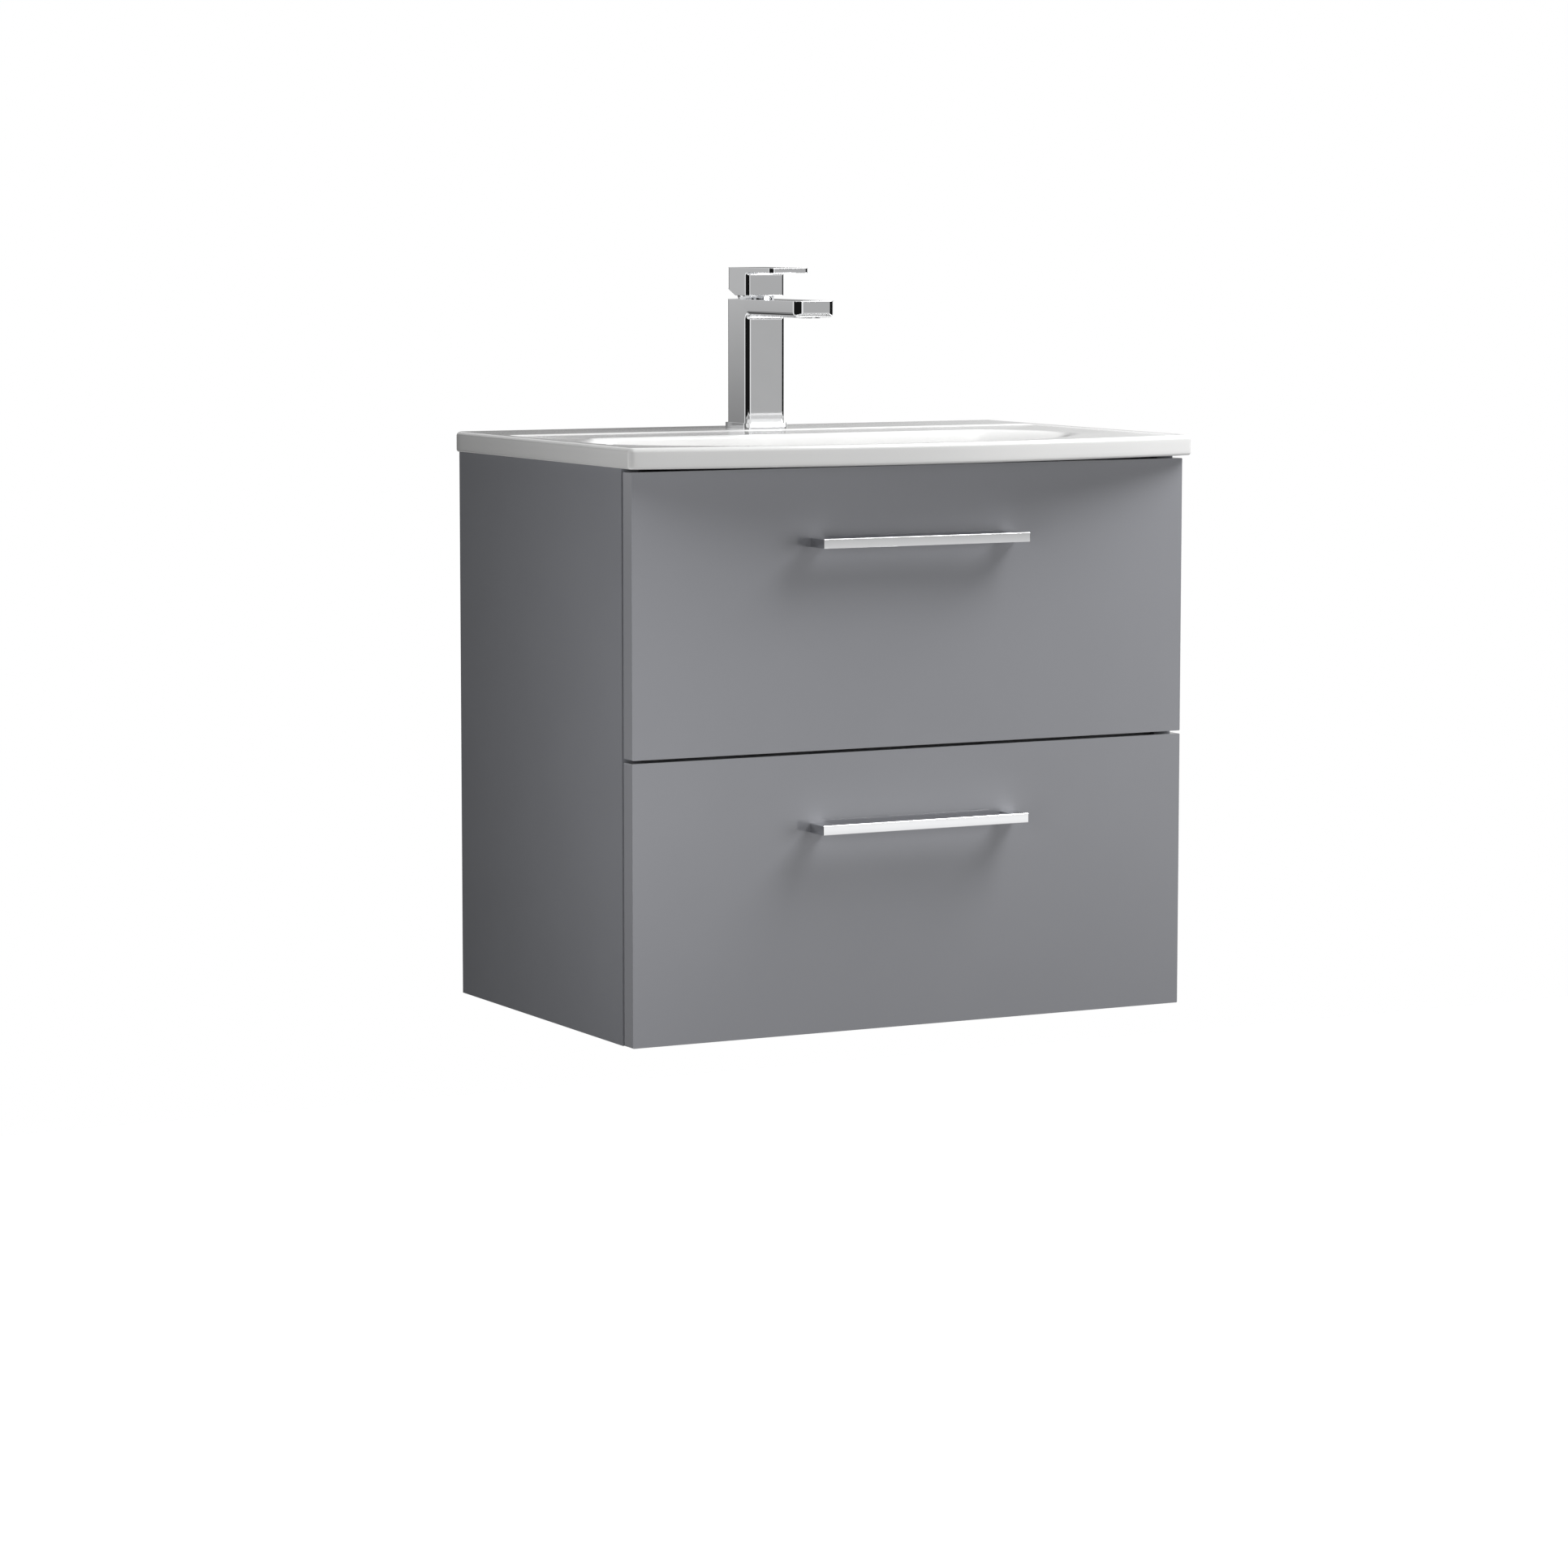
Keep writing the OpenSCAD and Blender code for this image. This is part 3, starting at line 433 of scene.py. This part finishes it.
def tap_lever():
    half, plate = 21.5, 5.0
    low, top = 692.1, lever_hi.z
    under, front, back, tip = top - plate, TAP_Y - half, TAP_Y + half, lever_lo.y
    foot = TAP_Y + 4.0
    pivot = body_hi.z + PIVOT_RISE
    bend = fillet_arc(front, under, 3.0, BEND_STEPS)
    rise = (back - foot) * math.tan(LIFT)
    outline = [(back, low + rise), (back, top), (tip, top), (tip, under), *bend, (front, low), (foot, low)]
    fade = [0.5 + 4.1 * math.sin(math.pi / 2 * (k + 0.5) / BEND_STEPS) for k in range(BEND_STEPS)]
    side = [4.6, 0.45, 4.6, 0.45, *fade, 4.6, 0.4, 0.4]
    cross = [0.3, 0.45, 0.45, 0.45, *[0.0] * (BEND_STEPS + 1), 0.4, 0.3]
    hollow, crown, stem, stem_top = 19.8, 11.2, 4.05, 17.4
    mouth = low - 2
    start = mouth - pivot
    heights = [start + (crown - start) * k / 20 for k in range(21)]
    socket = [(0, mouth), *[(math.sqrt(hollow * hollow - h * h), pivot + h) for h in heights],
              (stem, pivot + crown), (stem, pivot + stem_top), (0, pivot + stem_top)]
    screw = along_y(rod(2.05, 3.0, half + 1, (0, 0), 32), TAP_Y, pivot + 14.8)
    lever = solid("tap_lever_cast", "chrome", "lever", outline, sideways, -half, half, side, cross,
                  [lathe_mesh(socket, (0, TAP_Y)), screw])
    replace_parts(lever, "tap_lever")


def tap_dome():
    outer, inner = 19.5, 17.5
    pivot, low, high = body_hi.z + PIVOT_RISE, body_hi.z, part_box("tap_dome")[1].z / MM
    section = dome_arc(outer, pivot, low, high, 24) + dome_arc(inner, pivot, high, low, 24)
    mesh = ring_solid("tap_dome_turned", [circle_points((0, TAP_Y), r, z, 128) for r, z in section])
    smooth(mesh, 40)
    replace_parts(new_object("tap_dome_turned", mesh, "chrome", "cabinet"), "tap_dome")


tap_body()
tap_lever()
tap_dome()

# ---------------------------------------------------------------- handles


def upright(u, v, w):
    """Outline in the X-Y plane, extruded upwards."""
    return (u, v, w)


def handle(name, body):
    lo, hi = (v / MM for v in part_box(name))
    leg, thick = 16.0, 10.0
    outline = [(lo.x, lo.y), (hi.x, lo.y), (hi.x, hi.y), (hi.x - leg, hi.y), (hi.x - leg, lo.y + thick),
               (lo.x + leg, lo.y + thick), (lo.x + leg, hi.y), (lo.x, hi.y)]
    side = [0.5, 0.5, 0.0, 0.5, 0.5, 0.5, 0.0, 0.5]
    cross = [0.5, 0.5, 0.0, 0.0, 0.8, 0.8, 0.0, 0.0]
    bar = solid(name + "_bar", "chrome", body, outline, upright, lo.z, hi.z, side, cross, segments=4)
    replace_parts(bar, name)


handle("upper_handle", "upper_drawer")
handle("lower_handle", "lower_drawer")

# ---------------------------------------------------------------- basin


def between(samples, t):
    """Catmull-Rom reading between the middle two of four even samples, at a share t of the way."""
    p0, p1, p2, p3 = samples
    square = 2 * p0 - 5 * p1 + 4 * p2 - p3
    cube = 3 * (p1 - p2) + p3 - p0
    return p1 + 0.5 * t * (p2 - p0 + t * (square + t * cube))


class Basin:
    """Rings of points round the drain, from the rim's outline into the bowl and back along the underside."""

    drain_y, bow = -222.0, 37.5
    lip_half, lip_front, lip_back = 262.0, 372.0, 138.0
    depth, wall, share = 110.0, 11.0, 0.544
    back_steps, even_steps, soft_passes = 40, 360, 8
    tray = (269, -14, -352)

    def __init__(self):
        lo, hi = (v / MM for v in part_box("basin"))
        self.width, self.front = hi.x - lo.x, lo.y
        self.top, self.base = hi.z, hi.z - 20.0
        self.lip_z = self.top - 3.0
        self.radius = (self.width ** 2 / 4 + self.bow ** 2) / (2 * self.bow)
        self.middle = self.radius + self.front
        self.angles = self.chosen_angles()

    def rim(self, inset, back, corner, fine=False):
        """Half of the rim's outline, from the middle of the back round the right side to the front."""
        hw, r = self.width / 2 - inset, self.radius - inset
        cy = self.middle - math.sqrt((r - corner) ** 2 - (hw - corner) ** 2)
        phi = math.atan2(cy - self.middle, hw - corner)
        n = 12 if fine else 24

        def arc(x, y, a, b):
            turns = [a + (b - a) * k / n for k in range(n + 1)]
            return [(x + corner * math.cos(t), y + corner * math.sin(t)) for t in turns]

        def line(p, q, k):
            return [(p[0] + (q[0] - p[0]) * i / k, p[1] + (q[1] - p[1]) * i / k) for i in range(1, k)]

        back_arc = arc(hw - corner, back - corner, math.pi / 2, 0)
        side_arc = arc(hw - corner, cy, 0, phi)
        m = 30 if fine else 90
        bowed = [(r * math.cos(a), self.middle + r * math.sin(a))
                 for a in (phi + (-math.pi / 2 - phi) * k / m for k in range(1, m + 1))]
        return [(0, back), *line((0, back), back_arc[0], m), *back_arc,
                *line(back_arc[-1], side_arc[0], 24), *side_arc, *bowed]

    def bowl(self, depth, grow):
        """Half of the bowl's outline at a depth below its lip."""
        g = min(max(depth / self.depth, 0), 1)

        def share(k):
            return (1 - k) * g + k * (1 - math.sqrt(1 - g * g))

        def rolled(size):
            return size * (1 - math.exp(-max(depth, 0) / 8.0))

        half = self.lip_half - rolled(20) - 112 * share(0.45) + grow
        front = -(self.lip_front - rolled(25) - 72 * share(0.5)) - grow
        back = -(self.lip_back + rolled(4) + 22 * share(1)) + grow
        b = (back - front) / (1 + self.share)
        t0 = math.asin(self.share)
        xc = half * math.cos(t0)
        n = 200
        return [*[(xc * k / self.back_steps, back) for k in range(self.back_steps + 1)],
                *[(half * math.cos(t), front + b + b * math.sin(t))
                  for t in (t0 - (math.pi / 2 + t0) * k / n for k in range(1, n + 1))]]

    def box(self, half, back, front):
        return [(0, back), (half, back), (half, front), (0, front)]

    def angle(self, p):
        """From straight back, 0, round by the right to straight forward, pi."""
        return math.atan2(p[0], p[1] - self.drain_y)

    def chosen_angles(self):
        points = self.rim(0, 0, 6, True) + self.rim(12, -100, 6, True) + self.box(*self.tray)
        points += [self.bowl(d, 0)[self.back_steps] for d in (0.0, 30.0, 80.0, 109.9)]
        found = sorted({round(self.angle(p), 5) for p in points} | {math.pi * k / 90 for k in range(91)})
        kept = [found[0]]
        for a in found[1:]:
            if a - kept[-1] > 0.0012:
                kept.append(a)
        kept[-1] = math.pi
        return kept

    def reach(self, polar, a, k):
        """Distance from the drain to the outline at one angle, and the segment it is on, from k onwards."""
        while k < len(polar) - 2 and polar[k + 1][0] < a:
            k += 1
        (x0, y0), (x1, y1) = polar[k][1], polar[k + 1][1]
        s, c = math.sin(a), math.cos(a)
        ax, ay, bx, by = x0, y0 - self.drain_y, x1 - x0, y1 - y0
        t = (ay * s - ax * c) / (bx * c - by * s) if abs(bx * c - by * s) > 1e-12 else 0.0
        t = min(max(t, 0.0), 1.0)
        return math.hypot(ax + bx * t, ay + by * t), k

    def reaches(self, polar, angles):
        out, k = [], 0
        for a in angles:
            r, k = self.reach(polar, a, k)
            out.append(r)
        return out

    def polar(self, half_outline):
        found = [(self.angle(p), p) for p in half_outline]
        found[-1] = (math.pi, found[-1][1])
        return found

    def both_sides(self, radii, z):
        """The full ring at height z that has these radii at the chosen angles."""
        half = [(r * math.sin(a), self.drain_y + r * math.cos(a), z) for a, r in zip(self.angles, radii)]
        return half + [(-x, y, z) for x, y, z in half[-2:0:-1]]

    def circle(self, r, z):
        return self.both_sides([r] * len(self.angles), z)

    def ring(self, half_outline, z):
        return self.both_sides(self.reaches(self.polar(half_outline), self.angles), z)

    def bowl_ring(self, depth, grow, z):
        """A ring of the bowl whose kinks are softened, by smoothing its radii at even angles."""
        n = self.even_steps
        even = self.reaches(self.polar(self.bowl(depth, grow)), [math.pi * k / n for k in range(n + 1)])
        for _ in range(self.soft_passes):
            padded = [even[1], *even, even[-2]]
            even = [(padded[i] + 2 * padded[i + 1] + padded[i + 2]) / 4 for i in range(n + 1)]
        padded = [even[2], even[1], *even, even[-2], even[-3]]
        radii = []
        for a in self.angles:
            u = min(a / math.pi * n, n - 1e-9)
            i = int(u)
            radii.append(between(padded[i + 1:i + 5], u - i))
        return self.both_sides(radii, z)

    def blend(self, a, b, t, z):
        return [(p[0] + (q[0] - p[0]) * t, p[1] + (q[1] - p[1]) * t, z) for p, q in zip(a, b)]

    def rings(self):
        out = []
        r_low, r_top, c = 2.5, 4.5, 6.0
        for k in range(7):
            a = math.pi / 2 * k / 6
            i = r_low * (1 - math.sin(a))
            out.append(self.ring(self.rim(i, -i, c - i), self.base + r_low * (1 - math.cos(a))))
        for k in range(3):
            out.append(self.ring(self.rim(0, 0, c), self.base + r_low + (k + 1) * 3.2))
        for k in range(11):
            a = math.pi / 2 * k / 10
            i = r_top * (1 - math.cos(a))
            out.append(self.ring(self.rim(i, -i, c - i), self.top - r_top * (1 - math.sin(a))))
        out.append(self.ring(self.rim(6.5, -30, 6.0), self.top))
        out.append(self.ring(self.rim(7.8, -92, 7.0), self.top))
        for k in range(13):
            t = k / 12
            drop = t * t * t * (t * (6 * t - 15) + 10)
            step = self.rim(8.4 + 7.2 * t, -97.4 - 7.0 * t, 6.5 + 1.5 * t)
            out.append(self.ring(step, self.top - 1.3 * drop))
        flat = out[-1]
        e, k_out = 2.4, 2.6
        edge = self.bowl_ring(0, k_out * e + 1.0, self.lip_z)
        for t in (0.12, 0.3, 0.5, 0.7, 0.88, 1.0):
            out.append(self.blend(flat, edge, t, self.lip_z + 1.7 * (1 - t)))
        lip = (-2.4, -2.0, -1.6, -1.2, -0.8, -0.4, 0.0, 0.4, 0.8, 1.2, 1.6, 2.0, 2.4, 3.2, 4.4, 6.0, 8.0)
        side_wall = (10.5, 13.5, 17, 21, 26, 32, 39, 46, 54, 62, 70, 77, 83.5, 89, 94, 98)
        turn_in = (101.5, 104.2, 106.4, 108, 109.2, 109.8, 110)
        for q in lip + side_wall + turn_in:
            d = (q + e) ** 2 / (4 * e) if q < e else q
            out.append(self.bowl_ring(d, k_out * max(d - q, 0.0), self.lip_z - d))
        floor = out[-1]
        seat = self.circle(33.0, 0)
        floor_z = self.lip_z - self.depth
        for t in (0.12, 0.28, 0.46, 0.64, 0.8, 0.92, 1.0):
            fall = 6.0 * (1 - math.cos(math.pi / 2 * t ** 0.8)) ** 0.9
            out.append(self.blend(floor, seat, t, floor_z - fall))
        recess_z = floor_z - 9.0
        out += [self.circle(32.6, floor_z - 6.4), self.circle(32.5, floor_z - 8.9)]
        out.append(self.circle(32.3, recess_z))
        under = recess_z - self.wall
        drain = 23.0
        out += [self.circle(drain, recess_z), self.circle(drain, under), self.circle(36.0, under)]
        out += [self.bowl_ring(109.9, self.wall - 18, under), self.bowl_ring(109.9, self.wall - 8, under + 3)]
        for d in (109.9, 107, 102, 95, 86, 76, 64, 50, 36, 24, 14):
            z = self.lip_z - d - 4 * d / self.depth
            if z < self.top - 15.5:
                out.append(self.bowl_ring(d, self.wall, z))
        ceiling = self.top - 15
        out.append(self.bowl_ring(11.0, self.wall, ceiling))
        out += [self.ring(self.box(*self.tray), ceiling), self.ring(self.box(*self.tray), self.base)]
        return out

    def build(self):
        mesh = ring_solid("basin_glazed", self.rings())
        obj = new_object("basin_glazed", mesh, "ceramic", "cabinet")
        cut(obj, rod(17.5, self.base - 20, self.top + 5, (0, TAP_Y), 72))
        smooth(obj.data, 38)
        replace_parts(obj, "basin")


Basin().build()

# ---------------------------------------------------------------- finish of the carried-over CAD nodes


def cad_surface():
    """Joins a CAD node's split faces and shades its curved ones smoothly."""
    g = bpy.data.node_groups.new("cad_surface", "GeometryNodeTree")
    g.interface.new_socket("Geometry", in_out="INPUT", socket_type="NodeSocketGeometry")
    g.interface.new_socket("Geometry", in_out="OUTPUT", socket_type="NodeSocketGeometry")
    add = g.nodes.new
    start, end = add("NodeGroupInput"), add("NodeGroupOutput")
    plain, merge = add("GeometryNodeRemoveAttribute"), add("GeometryNodeMergeByDistance")
    plain.inputs["Name"].default_value = "custom_normal"
    merge.inputs["Distance"].default_value = 2e-6
    faces, edges = add("GeometryNodeSetShadeSmooth"), add("GeometryNodeSetShadeSmooth")
    edges.domain = "EDGE"
    edges.inputs["Shade Smooth"].default_value = False
    turn, sharp = add("GeometryNodeInputMeshEdgeAngle"), add("FunctionNodeCompare")
    sharp.data_type, sharp.operation = "FLOAT", "GREATER_THAN"
    sharp.inputs[1].default_value = math.radians(32)
    pairs = [(start.outputs[0], plain.inputs[0]), (plain.outputs[0], merge.inputs[0]),
             (merge.outputs[0], faces.inputs["Geometry"]), (faces.outputs[0], edges.inputs["Geometry"]),
             (turn.outputs["Unsigned Angle"], sharp.inputs[0]),
             (sharp.outputs[0], edges.inputs["Selection"]), (edges.outputs[0], end.inputs[0])]
    for a, b in pairs:
        g.links.new(a, b)
    return g


surface = cad_surface()
EDGE_MM = {
    "front_lacquer": 0.9, "panel_foil": 0.5, "rail_board": 0.4, "drawer_board": 0.5, "chrome": 0.5,
    "zinc_steel": 0.16, "white_plastic": 0.5, "rubber": 0.3, "clear_buffer": 0.35, "brass": 0.3,
}
slot_of = {part["node"]: part["material_slot"] for part in frame["record"]["subparts"]}
for name, obj in nodes.items():
    if obj.hide_render:
        continue
    slot = slot_of[name]
    while len(obj.material_slots) > 1:
        obj.data.materials.pop()
    if not obj.material_slots:
        obj.data.materials.append(MATERIALS[slot])
    obj.material_slots[0].material = MATERIALS[slot]
    obj.modifiers.new("surface", "NODES").node_group = surface
    bevel = obj.modifiers.new("edges", "BEVEL")
    bevel.limit_method, bevel.angle_limit = "ANGLE", math.radians(35)
    bevel.width = {"tap_base": 0.8, "tap_aerator": 0.15}.get(name, EDGE_MM[slot]) * MM
    bevel.segments = 3 if slot in ("front_lacquer", "chrome") else 2
    bevel.harden_normals = True
    bevel.miter_outer = "MITER_ARC"

# ---------------------------------------------------------------- stage and light


def emitter(name):
    """A white material that glows at strength 1, its node tree and its emission node."""
    m = bpy.data.materials.new(name)
    m.use_nodes = True
    m.cycles.emission_sampling = "NONE"
    tree = m.node_tree
    tree.nodes.clear()
    glow, out = tree.nodes.new("ShaderNodeEmission"), tree.nodes.new("ShaderNodeOutputMaterial")
    glow.inputs["Color"].default_value = (1, 1, 1, 1)
    glow.inputs["Strength"].default_value = 1.0
    tree.links.new(glow.outputs[0], out.inputs["Surface"])
    return m, tree, glow


def ball(name, radius, material):
    bm = bmesh.new()
    bmesh.ops.create_uvsphere(bm, u_segments=64, v_segments=32, radius=radius)
    mesh = mesh_from(bm, name)
    mesh.materials.append(material)
    obj = bpy.data.objects.new(name, mesh)
    scene.collection.objects.link(obj)
    return obj


def only(obj, camera=False, glossy=False):
    """Lets only the camera's rays, or only mirrored ones, see the object."""
    obj.visible_camera, obj.visible_diffuse, obj.visible_glossy = camera, False, glossy
    obj.visible_transmission, obj.visible_shadow, obj.visible_volume_scatter = camera, False, False


white_room = ball("backdrop", 40.0, emitter("backdrop")[0])
only(white_room, camera=True)

FLOOR_Z = -4.0
bm = bmesh.new()
bmesh.ops.create_grid(bm, x_segments=1, y_segments=1, size=20.0)
mesh = mesh_from(bm, "floor")
floor = bpy.data.objects.new("floor", mesh)
floor.location = (0, 0, FLOOR_Z)
scene.collection.objects.link(floor)
pale = Shader("floor_pale", (0.85, 0.85, 0.85), Roughness=0.9)
pale.tint(pale.noise(3.0, 2.0), 0.005)
pale.put("Emission Color", (1, 1, 1, 1))
pale.put("Emission Strength", 1.0)
pale.m.cycles.emission_sampling = "NONE"
mesh.materials.append(pale.m)
floor.visible_glossy = False
floor.visible_diffuse = False


def studio_dome():
    """What glossy surfaces mirror: bright and black cards round the horizon, and a bright sky."""
    m, tree, glow = emitter("studio_dome")

    def math_node(kind, *values):
        node = tree.nodes.new("ShaderNodeMath")
        node.operation = kind
        for i, v in enumerate(values):
            if isinstance(v, (int, float)):
                node.inputs[i].default_value = v
            else:
                tree.links.new(v, node.inputs[i])
        return node.outputs[0]

    def ramp(source, lo, hi, stops):
        node = tree.nodes.new("ShaderNodeValToRGB")
        tree.links.new(math_node("DIVIDE", math_node("SUBTRACT", source, lo), hi - lo), node.inputs[0])
        elements = node.color_ramp.elements
        while len(elements) > 1:
            elements.remove(elements[-1])
        for i, (at, value) in enumerate(stops):
            e = elements[0] if i == 0 else elements.new((at - lo) / (hi - lo))
            e.position = (at - lo) / (hi - lo)
            e.color = (value, value, value, 1)
        return node.outputs[0]

    where = tree.nodes.new("ShaderNodeTexCoord").outputs["Object"]
    unit = tree.nodes.new("ShaderNodeVectorMath")
    unit.operation = "NORMALIZE"
    tree.links.new(where, unit.inputs[0])
    parts = tree.nodes.new("ShaderNodeSeparateXYZ")
    tree.links.new(unit.outputs[0], parts.inputs[0])
    x, y, z = parts.outputs
    degree = 180 / math.pi
    turn = math_node("MULTIPLY", math_node("ARCTAN2", x, math_node("MULTIPLY", y, -1)), degree)
    rise = math_node("MULTIPLY", math_node("ARCSINE", z), degree)
    round_horizon = ramp(turn, -180, 180, [
        (-180, 0.1), (-157, 0.02), (-155.6, 0.1), (-154.4, 0.5), (-145, 1.0), (-124, 1.0), (-120, 0.01),
        (-4, 0.01), (0, 1.0), (19, 1.0), (21, 0.5), (42, 0.5), (46, 0.01), (108, 0.01), (112, 1.0),
        (143, 1.0), (146, 0.6), (150, 0.42), (153, 0.26), (156, 0.12), (160, 0.2), (180, 0.3)])
    floor_band = ramp(rise, -30, 10, [
        (-30, 0.5), (-12, 0.5), (-8.7, 0.7), (-6.5, 1.1), (-3.5, 0.76), (-1.8, 0.49), (10, 0.5)])
    front_right = ramp(turn, -180, 180, [(19, 0.0), (21, 1.0), (42, 1.0), (44, 0.0)])
    left_card = ramp(rise, -30, 10, [(-30, 0.15), (-3, 0.15), (-1.5, 0.26), (0.4, 0.54), (10, 0.56)])
    left = ramp(turn, -180, 180, [(-154.2, 0.0), (-153.4, 1.0), (-147, 1.0), (-145.5, 0.0)])
    sky = ramp(rise, -90, 90, [(-90, 1.0), (-30, 1.0), (-22, 0.0), (14, 0.0), (20, 1.0), (90, 1.0)])
    value = round_horizon
    for share, other in ((front_right, floor_band), (left, left_card), (sky, 0.9)):
        node = tree.nodes.new("ShaderNodeMix")
        node.data_type = "FLOAT"
        tree.links.new(share, node.inputs[MIX_FACTOR])
        tree.links.new(value, node.inputs[MIX_FLOAT_A])
        if isinstance(other, float):
            node.inputs[MIX_FLOAT_B].default_value = other
        else:
            tree.links.new(other, node.inputs[MIX_FLOAT_B])
        value = node.outputs[MIX_FLOAT_OUT]
    tree.links.new(value, glow.inputs["Strength"])
    dome = ball("studio_dome", 30.0, m)
    dome.data.shade_smooth()
    only(dome, glossy=True)


studio_dome()

world = bpy.data.worlds.new("studio")
scene.world = world
world.use_nodes = True
world.node_tree.nodes["Background"].inputs["Color"].default_value = (1, 1, 1, 1)
world.node_tree.nodes["Background"].inputs["Strength"].default_value = 0.08


def area(name, at, towards, size, power, mirrored=False):
    light = bpy.data.lights.new(name, "AREA")
    light.shape, light.size, light.size_y, light.energy = "RECTANGLE", size[0], size[1], power
    obj = bpy.data.objects.new(name, light)
    obj.location = at
    obj.rotation_euler = (Vector(towards) - Vector(at)).to_track_quat("-Z", "Y").to_euler()
    scene.collection.objects.link(obj)
    obj.visible_camera = False
    obj.visible_glossy = mirrored


CENTRE = (0.0, -0.2, 0.3)
area("key_right", (1.06, -0.85, 1.84), CENTRE, (1.0, 1.0), 52, mirrored=True)
area("top", (0.0, -0.3, 2.3), CENTRE, (1.5, 1.5), 3)
area("right", (2.0, -2.2, 0.4), CENTRE, (1.2, 1.2), 27)
area("left", (-2.5, -0.5, 1.0), CENTRE, (1.0, 1.0), 4.5)
area("near_left", (-0.55, -0.85, 0.25), (-0.3, -0.2, 0.3), (0.3, 0.6), 1.1)
area("left_side", (-0.75, -0.42, 0.35), (-0.3, -0.42, 0.35), (0.3, 0.7), 1.0)
